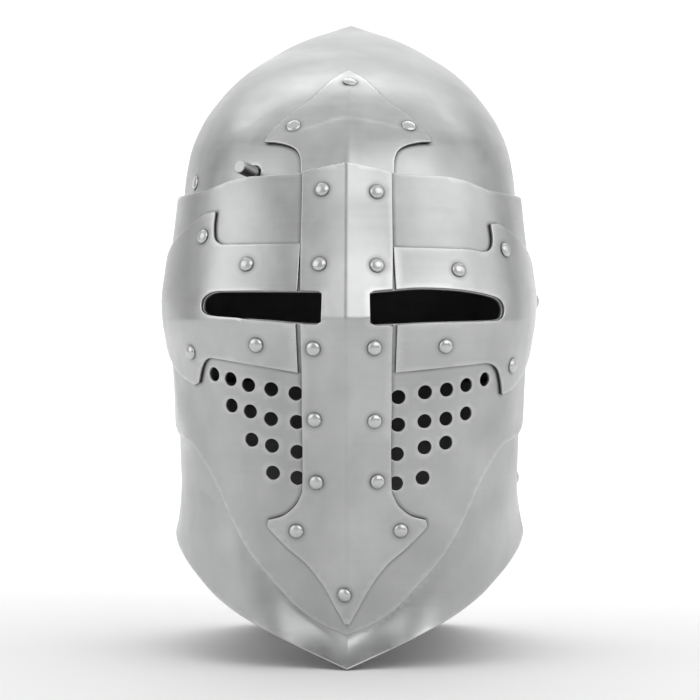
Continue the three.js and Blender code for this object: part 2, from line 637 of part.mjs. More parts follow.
function makeRivet({ plate: on, angle, height }) {
  const { surface, under, rise } = RIVET_SEATS[on];
  const point = surface(angle, height);
  const way = facing(surface, angle, height);
  const head = lathe([[0, 0], [RIVET_RADIUS, 0], [0.8 * RIVET_RADIUS, 0.65 * rise], [0, rise]]);
  return placed(head, point.clone().addScaledVector(way, heightUnder(under, point, way) + PLATE_GAP), way);
}

// A pivot: domed head, shank through visor and skull, collar between them, and a clenched end inside
function makePivot(side) {
  const headSeat = pivotVisor.x + ARM_WALL + 2 * PLATE_GAP;
  const visorInside = pivotVisor.x - VISOR_WALL - PIVOT_FACE_GAP;
  const skullOutside = pivotSkull.x + PIVOT_FACE_GAP;
  const skullInside = pivotSkull.x - SKULL_WALL - PIVOT_FACE_GAP;
  const profile = [
    [0, skullInside - PIVOT_HEAD_RISE], [PIVOT_COLLAR_RADIUS, skullInside - 0.6 * PIVOT_HEAD_RISE],
    [PIVOT_COLLAR_RADIUS, skullInside], [PIVOT_SHANK_RADIUS, skullInside],
    [PIVOT_SHANK_RADIUS, skullOutside], [PIVOT_COLLAR_RADIUS, skullOutside],
    [PIVOT_COLLAR_RADIUS, visorInside], [PIVOT_SHANK_RADIUS, visorInside],
    [PIVOT_SHANK_RADIUS, headSeat], [PIVOT_HEAD_RADIUS, headSeat],
    [0.86 * PIVOT_HEAD_RADIUS, headSeat + 0.55 * PIVOT_HEAD_RISE],
    [0.5 * PIVOT_HEAD_RADIUS, headSeat + 0.88 * PIVOT_HEAD_RISE], [0, headSeat + PIVOT_HEAD_RISE],
  ];
  const way = new THREE.Vector3(side, 0, 0);
  return placed(lathe(profile), new THREE.Vector3(0, 0, pivotHeight), way);
}

function makeCatchPin() {
  const flangeFace = -(SKULL_WALL + CATCH_FLANGE_GAP);
  const bevel = 0.15 * CATCH_RADIUS;
  const profile = [
    [0, flangeFace - CATCH_FLANGE_WALL], [CATCH_FLANGE_RADIUS, flangeFace - CATCH_FLANGE_WALL],
    [CATCH_FLANGE_RADIUS, flangeFace], [CATCH_RADIUS, flangeFace],
    [CATCH_RADIUS, CATCH_PROUD - bevel], [CATCH_RADIUS - bevel, CATCH_PROUD], [0, CATCH_PROUD],
  ];
  return placed(lathe(profile), catchSeat, catchWay);
}

['skull', 'neck_plate', 'bevor', 'visor'].forEach((name) => piece(name, plates[name], PLATE_STEEL, 0.42));
['visor_upright', 'visor_arm_left', 'visor_arm_right', 'brow_finial'].forEach((name) =>
  piece(name, plates[name], CROSS_STEEL, 0.38));
piece('pivot_left', makePivot(-1), RIVET_STEEL, 0.25);
piece('pivot_right', makePivot(1), RIVET_STEEL, 0.25);
piece('catch_pin', makeCatchPin(), PIN_STEEL, 0.35);
RIVETS.forEach((row) => piece(`rivet_${row.name}`, makeRivet(row), RIVET_STEEL, 0.25));

// The origin is under the middle of the helm, on the surface that it stands on
const extent = new THREE.Box3().setFromObject(helm);
const middle = extent.getCenter(new THREE.Vector3());
helm.position.set(-middle.x, -middle.y, -extent.min.z);

export default helm;
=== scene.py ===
"""The look of a great bascinet: worked steel plates, rivets and a plain studio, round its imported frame."""

import math

import bpy
import numpy as np
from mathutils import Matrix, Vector
from mathutils.geometry import delaunay_2d_cdt


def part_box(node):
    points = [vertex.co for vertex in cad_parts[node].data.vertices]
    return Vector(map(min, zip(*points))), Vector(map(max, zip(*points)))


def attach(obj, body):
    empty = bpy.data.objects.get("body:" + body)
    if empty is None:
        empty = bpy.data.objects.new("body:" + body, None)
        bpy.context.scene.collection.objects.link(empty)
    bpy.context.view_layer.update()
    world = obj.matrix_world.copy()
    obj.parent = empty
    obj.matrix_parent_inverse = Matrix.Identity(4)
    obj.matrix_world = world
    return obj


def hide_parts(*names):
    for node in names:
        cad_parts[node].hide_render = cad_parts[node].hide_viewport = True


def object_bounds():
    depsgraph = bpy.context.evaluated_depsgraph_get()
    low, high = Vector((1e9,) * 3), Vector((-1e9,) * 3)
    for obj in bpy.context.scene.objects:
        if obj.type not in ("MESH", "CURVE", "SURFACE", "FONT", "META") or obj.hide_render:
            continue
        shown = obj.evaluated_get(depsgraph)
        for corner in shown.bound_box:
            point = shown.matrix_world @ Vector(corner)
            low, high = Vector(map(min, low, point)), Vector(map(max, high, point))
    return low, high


bl_info = {
    "name": "Great Bascinet Looks",
    "version": (1, 0, 0),
    "blender": (4, 5, 0),
    "location": "View3D > Sidebar > Bascinet",
    "description": "Makes the steel plates, rivets, catch pin and studio of a great bascinet",
    "category": "Object",
}

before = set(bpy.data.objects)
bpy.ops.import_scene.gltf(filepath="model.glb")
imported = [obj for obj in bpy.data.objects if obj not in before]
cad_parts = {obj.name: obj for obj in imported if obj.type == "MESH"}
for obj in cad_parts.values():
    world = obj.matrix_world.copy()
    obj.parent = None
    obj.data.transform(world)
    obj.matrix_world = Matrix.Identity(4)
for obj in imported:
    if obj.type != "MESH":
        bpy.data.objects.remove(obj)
CAD_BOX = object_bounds()

# Driving sizes, in metres
MM = 0.001
HELM_HEIGHT = CAD_BOX[1].z
PIVOT_LOW, PIVOT_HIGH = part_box("pivot_right")
PIVOT_LINE = (PIVOT_LOW.y + PIVOT_HIGH.y) / 2
PIVOT_REACH = PIVOT_HIGH.x
SKULL_HALF_WIDTH = 112.5 * MM
SKULL_REACH = 148 * MM
SKULL_REAR = 126 * MM
SKULL_KEEL = 3 * MM
VISOR_HALF_WIDTH = 117.7 * MM
VISOR_REACH = 168 * MM
VISOR_REAR = 127 * MM
VISOR_KEEL = 7 * MM
RIM_HALF_WIDTH = 113 * MM
RIM_REACH = 150 * MM
RIM_REAR = 124 * MM
SKULL_WALL = 1.8 * MM
VISOR_WALL = 2 * MM
THROAT_WALL = 1.8 * MM
UPRIGHT_WALL = 2.4 * MM
ARM_WALL = 1.8 * MM
FINIAL_WALL = 1.8 * MM
PLATE_GAP = 0.3 * MM
SLIDING_GAP = 0.6 * MM
LOW_RIVET_SHARE = 0.5
CATCH_RADIUS = 4.1 * MM
CATCH_PROUD = 15.5 * MM
CATCH_CLEARANCE = 0.9 * MM
CATCH_FLANGE_GAP = 1.6 * MM
FOLD_RISE = 0.5 * MM
FOLD_REACH = 3.2 * MM
CREASE = 0.5 * MM
HAMMER_WAVE = 0.22 * MM
THROAT_ROLL = 0.7 * MM
RIVET_SINK = 0.1 * MM
CATCH_FLANGE_RADIUS = 6.2 * MM
CATCH_FLANGE_WALL = 2 * MM
CATCH_BEVEL = 0.5 * MM
PIVOT_SHANK = 3 * MM
FLAT_PER_DEGREE = 2 * MM

# The studio's floor, which curves up into a backdrop
FLOOR_HALF_WIDTH = 7.0
FLOOR_FRONT = -6.0
FLOOR_BACK = 2.0
COVE = 1.5
BACKDROP_TOP = 6.0

# Angles in degrees, heights as shares of the helm's, and powers
KEEL_ANGLE = 12
KEEL_FADE = 0.12
RIDGE_SHARE = 0.509
PIVOT_SHARE = 0.541
CATCH_ANGLE = -27
CATCH_RISE = 0.19
BEVOR_END_ANGLE = 108
NECK_START_ANGLE = 81
VISOR_END_ANGLE = 98
SKULL_FOOT_STEP = 1.2
SKULL_POWER = 2.3
VISOR_POWER = 3
RIM_POWER = 2.4
FLARE_POWER = 1.7
DOME_POWER = 0.85
RIM_LIFT = 0.0031
UPRIGHT_DROP = 0.0012
SLOT_CORNER_ANGLE = 0.9
SLOT_CORNER_SHARE = 0.0036
APEX_SHARE = 0.004


def table(names, *rows):
    """Rows of numbers under named columns."""
    return dict(zip(names.split(), np.array(rows, float).T))


def joined(*curves):
    """Curves that meet at corners: each but the first starts where the one before it ends."""
    starts = [(), *(points[-1:] for points in curves)]
    return [start + points for start, points in zip(starts, curves)]


SKULL_SECTIONS = table(
    "height width front back middle",
    (0.185, 0.918, 0.900, 0.730, 0),
    (0.262, 0.922, 0.910, 0.762, 0),
    (0.366, 0.932, 0.946, 0.830, 0),
    (0.440, 0.948, 0.970, 0.890, 0),
    (0.541, 0.983, 0.980, 0.968, 0),
    (0.647, 0.968, 0.930, 1.000, 0),
    (0.724, 0.950, 0.860, 0.990, 0),
    (0.770, 0.923, 0.814, 0.956, 0.016),
    (0.818, 0.860, 0.734, 0.873, 0.063),
    (0.868, 0.742, 0.613, 0.762, 0.127),
    (0.904, 0.626, 0.500, 0.635, 0.206),
    (0.945, 0.436, 0.3135, 0.413, 0.333),
    (0.964, 0.329, 0.228, 0.293, 0.397),
    (0.976, 0.240, 0.167, 0.206, 0.437),
    (0.984, 0.162, 0.105, 0.151, 0.452),
    (1.000, 0.012, 0.0062, 0.008, 0.476),
)
VISOR_SECTIONS = table(
    "height width front back",
    (0.040, 0.900, 0.765, 0.827),
    (0.147, 0.910, 0.815, 0.827),
    (0.262, 0.937, 0.872, 0.850),
    (0.325, 0.944, 0.905, 0.858),
    (0.374, 0.950, 0.930, 0.876),
    (0.410, 0.954, 0.950, 0.895),
    (0.440, 0.961, 0.966, 0.912),
    (0.476, 0.977, 0.984, 0.940),
    (0.509, 0.994, 1.003, 0.965),
    (0.541, 1.000, 0.978, 0.985),
    (0.586, 0.984, 0.942, 1.000),
    (0.647, 0.956, 0.892, 1.000),
    (0.691, 0.943, 0.855, 1.000),
    (0.737, 0.931, 0.813, 1.000),
)
VISOR_TOP = table(
    "angle height",
    (0, 0.7350), (6, 0.7290), (12, 0.7215), (18, 0.7190), (24, 0.7180), (29, 0.7130), (33, 0.7060),
    (37, 0.7000), (46, 0.6975), (67, 0.6985), (83, 0.6980), (91, 0.6900), (98, 0.6400),
)
VISOR_FOOT = table(
    "angle height",
    (0, 0.0480), (6, 0.0600), (12, 0.0820), (18, 0.1200), (24, 0.1640), (29, 0.2200), (33, 0.2740),
    (37, 0.3040), (41, 0.3240), (52, 0.3360), (67, 0.3560), (75, 0.3780), (83, 0.4120), (91, 0.4400),
    (98, 0.4700),
)
THROAT_EDGES = table(
    "angle top waist rim",
    (0, 0.236, 0.046, 0.000), (6, 0.237, 0.058, 0.015), (12, 0.240, 0.080, 0.030),
    (18, 0.250, 0.118, 0.046), (24, 0.270, 0.160, 0.062), (29, 0.295, 0.208, 0.076),
    (33, 0.322, 0.236, 0.088), (37, 0.346, 0.250, 0.100), (41, 0.362, 0.257, 0.113),
    (46, 0.373, 0.261, 0.127), (59, 0.392, 0.264, 0.155), (75, 0.406, 0.263, 0.174),
    (91, 0.412, 0.262, 0.181), (106, 0.412, 0.255, 0.172), (116, 0.412, 0.246, 0.150),
    (128, 0.412, 0.230, 0.110), (140, 0.412, 0.210, 0.064), (150, 0.412, 0.198, 0.026),
    (160, 0.412, 0.190, 0.000), (180, 0.412, 0.185, 0.000),
)
SKULL_FOOT = table(
    "angle height",
    (0, 0.668), (44, 0.668), (52, 0.640), (61, 0.520), (71, 0.410), (81, 0.380), (98, 0.369),
    (108, 0.368), (180, 0.366),
)
SLOT_LEFT = table(
    "angle top foot",
    (-4.8, 0.5467, 0.5015), (-9.5, 0.5470, 0.5028), (-16, 0.5474, 0.5068), (-24, 0.5476, 0.5105),
    (-28, 0.5472, 0.5130), (-30, 0.5430, 0.5165), (-31.2, 0.5360, 0.5240),
)
SLOT_RIGHT = table(
    "angle top foot",
    (4.5, 0.5460, 0.5000), (9.5, 0.5487, 0.5010), (15, 0.5515, 0.5030), (22, 0.5500, 0.5045),
    (28, 0.5455, 0.5060), (33, 0.5385, 0.5085), (34.6, 0.5290, 0.5180),
)
BREATHS = table(
    "angle height",
    (-29.6, 0.4285), (-25.2, 0.4217), (-21.0, 0.4132), (-16.0, 0.4073), (-10.8, 0.4015),
    (-25.6, 0.3833), (-21.1, 0.3750), (-16.5, 0.3643), (-10.8, 0.3602),
    (-21.3, 0.3338), (-16.7, 0.3255), (-11.0, 0.3166),
    (-16.9, 0.2859), (-11.3, 0.2788),
    (10.9, 0.3961), (16.6, 0.4029), (21.4, 0.4066), (26.1, 0.4130), (31.2, 0.4211),
    (11.1, 0.3562), (16.9, 0.3611), (21.8, 0.3645), (26.7, 0.3717),
    (11.1, 0.3137), (17.3, 0.3231), (22.2, 0.3295),
    (11.2, 0.2707), (17.3, 0.2787),
)

# Outlines of (angle, height), as curves that meet at corners, and the upright's notches, which are straight
UPRIGHT_FOOT = joined(
    ((0.2, 0.0655), (2.7, 0.0902), (5.0, 0.1139), (7.4, 0.1346), (10.1, 0.1538), (14.3, 0.1763),
     (18.0, 0.2010)),
    ((18.8, 0.2090), (18.5, 0.2180)),
    ((14.8, 0.2250), (11.8, 0.2410), (10.2, 0.2600)),
    ((9.7, 0.3200), (9.5, 0.3800), (9.2, 0.4330), (9.1, 0.5005)),
)
UPRIGHT_BROW = ((9.3, 0.5487), (9.9, 0.6130), (10.4, 0.6800), (10.8, 0.7190))
NOTCH_RIGHT = ((9.1, 0.5007), (5.4, 0.5002), (4.5, 0.5036), (4.5, 0.5424), (5.4, 0.5462), (9.3, 0.5487))
NOTCH_LEFT = ((-9.3, 0.5470), (-5.7, 0.5467), (-4.8, 0.5431), (-4.8, 0.5051), (-5.7, 0.5017), (-9.1, 0.5028))
BROW_FINIAL = joined(
    ((12.3, 0.7120), (12.6, 0.7300), (13.1, 0.7460), (14.4, 0.7570), (16.8, 0.7640), (20.6, 0.7690),
     (24.4, 0.7705)),
    ((24.2, 0.7790), (22.9, 0.7890)),
    ((20.8, 0.8020), (17.8, 0.8170), (13.7, 0.8330), (9.5, 0.8565), (6.0, 0.8720), (0.3, 0.8872)),
)
ARM_LEFT = joined(
    ((10.0, 0.4320), (19, 0.4425), (26.8, 0.4510), (30.2, 0.4520), (32.4, 0.4400), (34.3, 0.4162)),
    ((36.2, 0.4130),),
    ((43, 0.4270), (54, 0.4530), (67, 0.4790), (83, 0.5040), (91, 0.5180), (95, 0.5330)),
    ((95.6, 0.5410), (95, 0.5490)),
    ((91, 0.5640), (83, 0.5770), (67, 0.5990), (54, 0.6220), (43, 0.6430), (34.5, 0.6640)),
    ((31.5, 0.6662),),
    ((31.3, 0.6434), (30.4, 0.6260), (28.6, 0.6180), (26.0, 0.6160), (10.0, 0.6160)),
)
ARM_RIGHT = joined(
    ((10.0, 0.4320), (19, 0.4385), (26, 0.4430), (30.8, 0.4451), (34, 0.4378), (36.0, 0.4200),
     (37.1, 0.3983)),
    ((39.0, 0.4010),),
    ((43, 0.4090), (54, 0.4410), (67, 0.4710), (83, 0.5030), (91, 0.5180), (95, 0.5330)),
    ((95.6, 0.5410), (95, 0.5490)),
    ((91, 0.5640), (83, 0.5770), (67, 0.5960), (54, 0.6160), (43, 0.6380), (37.2, 0.6490)),
    ((34.5, 0.6484),),
    ((34.3, 0.6247), (33.0, 0.6110), (30.6, 0.6060), (26.0, 0.6090), (10.0, 0.6110)),
)

# The line along which the brow finial is bent, where the cross leaves the visor
BROW_FOLD = table(
    "angle height",
    (-40, 0.7700), (-32.3, 0.7722), (-25, 0.7732), (-11, 0.7898), (-0.7, 0.8039), (15.6, 0.7901),
    (26, 0.7730), (40, 0.7700),
)

# Rivets in groups of like ones: the plate that they go through, how their nodes' names end, and their places
RIVET_GROUPS = (
    ("brow", "finial", (("top", 0.4, 0.866), ("left", -16.4, 0.7935), ("right", 18.4, 0.7935))),
    ("upright", "upright", (
        ("left_1", -5.5, 0.694), ("right_1", 6.7, 0.6905), ("left_2", -5.5, 0.585), ("right_2", 6.1, 0.583),
        ("left_3", -6.5, 0.467), ("right_3", 5.4, 0.468), ("left_4", -6.7, 0.365), ("right_4", 5.7, 0.363),
        ("left_5", -6.7, 0.274), ("right_5", 6.7, 0.2755),
    )),
    ("foot", "upright", (("left", -12, 0.2023), ("right", 12.7, 0.2033), ("point", -0.2, 0.1095))),
    ("arm", "arm", (
        ("left_1", -21.2, 0.586), ("left_2", -18.3, 0.472), ("right_1", 23.6, 0.578), ("right_2", 20, 0.4705),
    )),
    ("leaf", "arm", (
        ("left_1", -34, 0.629), ("left_2", -35.7, 0.4615), ("right_1", 38, 0.610), ("right_2", 40.3, 0.4415),
    )),
    ("throat", "throat", (
        ("left_1", -90, 0.386), ("left_2", -90, 0.262), ("right_1", 90, 0.386), ("right_2", 90, 0.262),
    )),
    ("skull", "skull", (("left", -55.5, 0.7190),)),
    ("nape", "skull", (
        ("left_1", -122, 0.386), ("right_1", 122, 0.386), ("left_2", -158, 0.386), ("right_2", 158, 0.386),
    )),
)
RIVETS = [
    (f"rivet_{group}_{end}", plate, *place) for group, plate, rows in RIVET_GROUPS for end, *place in rows
]


def smooth(rows, column, at, key="height"):
    """A column between its rows, on a curve that never overshoots."""
    x, y = rows[key], rows[column]
    at = np.clip(at, x[0], x[-1])
    i = np.clip(np.searchsorted(x, at) - 1, 0, len(x) - 2)
    secant = np.diff(y) / np.diff(x)
    both = secant[:-1] * secant[1:]
    total = np.where(both > 0, secant[:-1] + secant[1:], 1)
    slope = np.concatenate(([secant[0]], np.where(both > 0, 2 * both / total, 0), [secant[-1]]))
    span = x[i + 1] - x[i]
    s = (at - x[i]) / span
    bend = (s - 1) ** 2 * s * span * slope[i] + s**2 * (s - 1) * span * slope[i + 1]
    return y[i] + (y[i + 1] - y[i]) * s**2 * (3 - 2 * s) + bend


def creased(rows, column, at, crease):
    """A column that turns sharply at one height."""
    low = {name: values[rows["height"] <= crease] for name, values in rows.items()}
    high = {name: values[rows["height"] >= crease] for name, values in rows.items()}
    return np.where(at <= crease, smooth(low, column, at), smooth(high, column, at))


def folded(angle):
    """An angle brought to between -180 and 180."""
    return (np.asarray(angle, float) + 180) % 360 - 180


def hammered(angle, share):
    """The shallow waves that planishing leaves."""
    a, h = np.radians(angle), share * HELM_HEIGHT / MM
    wave = np.sin(5 * a + 0.06 * h) + np.sin(8 * a - 0.045 * h + 1.3)
    wave += 0.7 * np.sin(13 * a + 0.11 * h + 0.4) + 0.6 * np.sin(3 * a - 0.13 * h + 2.1)
    return HAMMER_WAVE * (wave - 3.3) / 2


def on_section(angle, share, width, front, back, middle, keel, power):
    """Points of a rounded, keeled section, by the angle from the keel line."""
    turn = np.radians(angle)
    across = np.abs(np.sin(turn)) / width
    depth = np.where(np.cos(turn) >= 0, front, back)
    along = np.abs(np.cos(turn)) / depth
    ridge = np.clip(1 - np.abs(folded(angle)) / KEEL_ANGLE, 0, None) ** 2
    radius = (across**power + along**power) ** (-1 / power) + keel * ridge + hammered(angle, share)
    x = radius * np.sin(turn)
    y = middle - radius * np.cos(turn) + PIVOT_LINE
    return np.stack([x, y, share * HELM_HEIGHT + 0 * x], axis=-1)


def skull_point(angle, share, inset=0.0):
    rows = SKULL_SECTIONS
    middle = smooth(rows, "middle", share) * SKULL_REAR
    point = on_section(
        angle,
        share,
        smooth(rows, "width", share) * SKULL_HALF_WIDTH - inset,
        smooth(rows, "front", share) * SKULL_REACH - inset,
        smooth(rows, "back", share) * SKULL_REAR - inset,
        middle,
        SKULL_KEEL * np.clip((1 - share) / KEEL_FADE, 0, 1),
        SKULL_POWER,
    )
    apex = np.stack([0 * middle, middle + PIVOT_LINE, share * HELM_HEIGHT], axis=-1)
    closing = np.clip((1 - share) / APEX_SHARE, 0, 1)[..., None] ** 0.5
    return apex + (point - apex) * closing


def visor_point(angle, share, inset=0.0):
    rows = VISOR_SECTIONS
    return on_section(
        angle,
        share,
        smooth(rows, "width", share) * VISOR_HALF_WIDTH - inset,
        creased(rows, "front", share, RIDGE_SHARE) * VISOR_REACH - inset,
        smooth(rows, "back", share) * VISOR_REAR - inset,
        0 * share,
        VISOR_KEEL,
        VISOR_POWER,
    )


def finial_point(angle, share, inset=0.0):
    """The skull's surface, raised a little below the line of the finial's fold."""
    below = smooth(BROW_FOLD, "height", folded(angle), "angle") - share
    step = np.clip(0.5 + below * HELM_HEIGHT / FOLD_REACH, 0, 1)
    return skull_point(angle, share, inset - FOLD_RISE * step**2 * (3 - 2 * step))


def facing(surface, angle, share):
    """The way that a surface faces, from its slopes."""
    turn, lift = 0.05, 0.0005
    round_way = surface(angle + turn, share) - surface(angle - turn, share)
    up_way = surface(angle, share + lift) - surface(angle, share - lift)
    way = np.cross(round_way, up_way)
    length = np.linalg.norm(way, axis=-1, keepdims=True)
    return np.where(length > 0, way / np.maximum(length, 1e-15), (0, 0, 1))


def throat_surface(upper, upper_inset, inset):
    """A plate that follows another's inside down to its waist and flares from there to the rim."""

    def point(angle, share):
        angle, share = np.broadcast_arrays(folded(angle), share)
        side = np.abs(angle)
        waist = smooth(THROAT_EDGES, "waist", side, "angle")
        rim = smooth(THROAT_EDGES, "rim", side, "angle")
        start = upper(angle, np.maximum(waist, share), upper_inset)
        end = on_section(
            angle, share, RIM_HALF_WIDTH - inset, RIM_REACH - VISOR_KEEL - inset, RIM_REAR - inset,
            0 * share, VISOR_KEEL, RIM_POWER,
        )
        flare = np.clip((waist - share) / (waist - rim), 0, 1.2)[..., None] ** FLARE_POWER
        mixed = start + (end - start) * flare
        mixed[..., 2] = share * HELM_HEIGHT
        return np.where((share >= waist)[..., None], start, mixed)

    return point


bevor_point = throat_surface(visor_point, VISOR_WALL + SLIDING_GAP, 0)
neck_point = throat_surface(skull_point, SKULL_WALL + 2 * SLIDING_GAP, THROAT_WALL + SLIDING_GAP)


def curve(points):
    """A smooth line through a few points."""
    points = np.array(points, float)
    if len(points) == 2:
        return points
    padded = np.vstack([2 * points[0] - points[1], points, 2 * points[-1] - points[-2]])
    out = [points[:1]]
    for before, a, b, after in zip(padded, padded[1:], padded[2:], padded[3:]):
        t = np.linspace(0, 1, 9)[1:, None]
        second, third = 2 * before - 5 * a + 4 * b - after, 3 * a - before - 3 * b + after
        out.append(0.5 * (2 * a + (b - before) * t + second * t**2 + third * t**3))
    return np.vstack(out)


def chain(*pieces, closed=False):
    """Curves joined end to end into one line of (angle, height)."""
    line = np.vstack([curve(piece) for piece in pieces])
    keep = np.abs(line - np.roll(line, -1, axis=0)).max(axis=1) > 1e-6
    keep[-1] |= not closed
    return line[keep]


def straight(points):
    """The stretches between points, each as a piece of its own."""
    return list(zip(points, points[1:]))


def mirrored(pieces):
    """Pieces of an outline on the other side of the keel line, in the order that carries it on."""
    return [[(-angle, height) for angle, height in reversed(piece)] for piece in reversed(pieces)]


def edge_line(rows, column, angles, shift=0):
    """One edge of a plate, read from its table at several angles."""
    heights = smooth(rows, column, np.abs(folded(angles)), "angle") + shift
    return list(zip(angles, heights))


# The bowl's first rings round its crown, in millimetres, where the even ones begin and their share of
# the pitch
CROWN_RINGS = (0.3, 0.7, 1.2, 2.0, 3.0, 4.2, 5.6, 7.2, 9.0)
OUTER_RING = 11 * MM
RING_STEP = 0.8


class FlatPattern:
    """The flat sheet that a plate is cut from, rolled round the helm, with any sharp creases on its lines."""

    def __init__(self, crease=0.0):
        self.crease = crease

    def to_flat(self, line):
        line = np.asarray(line, float)
        return np.stack([line[..., 0] * FLAT_PER_DEGREE, line[..., 1] * HELM_HEIGHT], axis=-1)

    def from_flat(self, flat):
        return flat[:, 0] / FLAT_PER_DEGREE, flat[:, 1] / HELM_HEIGHT

    def lattice(self, low, high, pitch):
        """Points in rows that lie on the keel line and on the ridge."""
        ridge = RIDGE_SHARE * HELM_HEIGHT
        xs = np.arange(math.floor(low[0] / pitch), math.ceil(high[0] / pitch) + 1) * pitch
        ys = np.arange(math.floor((low[1] - ridge) / pitch), math.ceil((high[1] - ridge) / pitch) + 1) * pitch
        if self.crease:
            xs = np.concatenate([xs, (-self.crease, self.crease)])
            ys = np.concatenate([ys, (-2 * self.crease, 2 * self.crease)])
        x, y = np.meshgrid(xs, ridge + ys)
        return np.stack([x.ravel(), y.ravel()], axis=-1)


class RoundPattern(FlatPattern):
    """A bowl seen from above, with its crown in the middle."""

    def to_flat(self, line):
        line = np.asarray(line, float)
        turn, reach = np.radians(line[..., 0]), (1 - line[..., 1]) * HELM_HEIGHT
        return np.stack([reach * np.sin(turn), -reach * np.cos(turn)], axis=-1)

    def from_flat(self, flat):
        angle = np.degrees(np.arctan2(flat[:, 0], -flat[:, 1]))
        return angle, 1 - np.hypot(flat[:, 0], flat[:, 1]) / HELM_HEIGHT

    def lattice(self, low, high, pitch):
        """Rings of points, as many in each as its size asks for."""
        reach = max(np.abs(low).max(), np.abs(high).max())
        rings = np.concatenate([np.array(CROWN_RINGS) * MM, np.arange(OUTER_RING, reach, RING_STEP * pitch)])
        points = [np.zeros((1, 2))]
        for ring in rings:
            share = 1 - ring / HELM_HEIGHT
            girth = math.tau * np.linalg.norm(skull_point(np.array([90.0]), np.array([share]))[0, :1])
            count = max(12, 4 * round(girth / pitch / 4))
            angles = np.arange(count) * 360 / count
            points.append(self.to_flat(np.stack([angles, np.full(count, share)], axis=-1)))
        return np.vstack(points)


def signed_area(loop):
    ahead = np.roll(loop, -1, axis=0)
    return 0.5 * np.sum(loop[:, 0] * ahead[:, 1] - loop[:, 1] * ahead[:, 0])


def divided(loop, step):
    """A closed line with no stretch longer than a step."""
    out = []
    for a, b in zip(loop, np.roll(loop, -1, axis=0)):
        count = max(1, math.ceil(np.linalg.norm(b - a) / step))
        out.append(a + (b - a) * np.arange(count)[:, None] / count)
    return np.vstack(out)


def inside(points, loops):
    """Which points lie in the sheet: within its outline and in no hole."""
    hit = np.zeros(len(points), bool)
    x, y = points[:, :1], points[:, 1:]
    for loop in loops:
        ax, ay = loop.T
        bx, by = np.roll(loop, -1, axis=0).T
        crosses = (ay > y) != (by > y)
        rise = np.where(by == ay, 1, by - ay)
        hit ^= (crosses & (x < ax + (y - ay) * (bx - ax) / rise)).sum(axis=1) % 2 == 1
    return hit


# How many points are measured at once
BATCH = 2000


def distance_to(points, loops):
    """How far each point lies from the nearest edge."""
    best = np.full(len(points), np.inf)
    for loop in loops:
        ahead = np.roll(loop, -1, axis=0) - loop
        for start in range(0, len(points), BATCH):
            batch = slice(start, start + BATCH)
            block = points[batch, None, :] - loop[None]
            t = np.clip((block * ahead).sum(-1) / np.maximum((ahead**2).sum(-1), 1e-18), 0, 1)
            gap = np.linalg.norm(block - t[..., None] * ahead, axis=-1).min(axis=1)
            best[batch] = np.minimum(best[batch], gap)
    return best


def unit(vectors):
    return vectors / np.maximum(np.linalg.norm(vectors, axis=-1, keepdims=True), 1e-15)


def stretch_at(surface, pattern, angle, share):
    """How much a small round thing is drawn out in the flat, so that it comes out round when bent."""
    flat = pattern.to_flat(np.array([[angle, share]]))
    scale = []
    for way in ((1e-4, 0), (0, 1e-4)):
        a, b = (pattern.from_flat(flat + sign * np.array([way])) for sign in (-0.5, 0.5))
        scale.append(1e-4 / np.linalg.norm(surface(*b) - surface(*a)))
    return scale


def ring_in_flat(surface, pattern, angle, share, radius, count):
    """A circle round a place on a plate, drawn in the flat."""
    wide, tall = stretch_at(surface, pattern, angle, share)
    turn = np.arange(count) * math.tau / count
    ring = np.stack([wide * radius * np.cos(turn), tall * radius * np.sin(turn)], axis=-1)
    return pattern.to_flat(np.array([angle, share])) + ring


def beside(loop, distance):
    """A line that runs along a closed line, on its outer side."""
    run = unit(np.roll(loop, -1, axis=0) - np.roll(loop, 1, axis=0))
    side = np.stack([run[:, 1], -run[:, 0]], axis=-1) * np.sign(signed_area(loop))
    return loop + distance * side


# How a sheet is divided: the share of its pitch that steps along its outline and that its edges keep
# free, and the free zones round a rivet and beside a plate that is laid on, with what fills them
OUTLINE_STEP = 0.6
EDGE_ZONE = 0.42
RIVET_ZONE = 9.4 * MM
RIVET_RINGS = ((2.4, 8), (4.0, 22), (4.6, 26), (5.2, 26), (6.2, 26), (7.6, 26))
LAID_STEP = 1.6 * MM
LAID_ZONE = 1.2 * MM
LAID_LINES = (0, 1.0, 2.2)
WELD = 1e-7

# How much grime and painted contact shadow there is, by the distance in millimetres from a rivet's middle and
# from a laid-on plate
RIVET_GRIME_AND_SHADE = ((4.6, 5.2, 7.2), (1, 0.34, 0))
LAID_GRIME_AND_SHADE = ((0.3, 1.0, 2.2), (1, 0.45, 0))

# The rings of a filed edge, from its outer lip to its inner one: how far they turn in degrees, how
# bright they are worn, with a painted highlight on the outer rings, and how much painted shade lies on the
# cut walls
EDGE_TURNS = (0, 45, 90, 90, 135, 180)
EDGE_WEAR_AND_HIGHLIGHT = (0.75, 1.0, 0.4, 0.0, 0.0, 0.0)
WALL_SHADE = (0.0, 0.0, 0.45, 0.9, 1.0, 1.0)


def sheet_points(surface, pattern, loops, pitch, rivet_places, laid_on):
    """Points within a sheet: its lattice, rings round the rivets and lines along what is laid on."""
    outline = np.vstack(loops)
    inner = pattern.lattice(outline.min(axis=0), outline.max(axis=0), pitch)
    for place in rivet_places:
        apart = (inner - pattern.to_flat(place)) / stretch_at(surface, pattern, *place)
        rings = [ring_in_flat(surface, pattern, *place, radius * MM, sides) for radius, sides in RIVET_RINGS]
        inner = np.vstack([inner[np.hypot(*apart.T) > RIVET_ZONE], *rings])
    for line in laid_on:
        inner = inner[distance_to(inner, [line]) > LAID_ZONE]
        inner = np.vstack([inner, *[beside(line, distance * MM) for distance in LAID_LINES]])
    inner = inner[inside(inner, loops)]
    return inner[distance_to(inner, loops) > EDGE_ZONE * pitch]


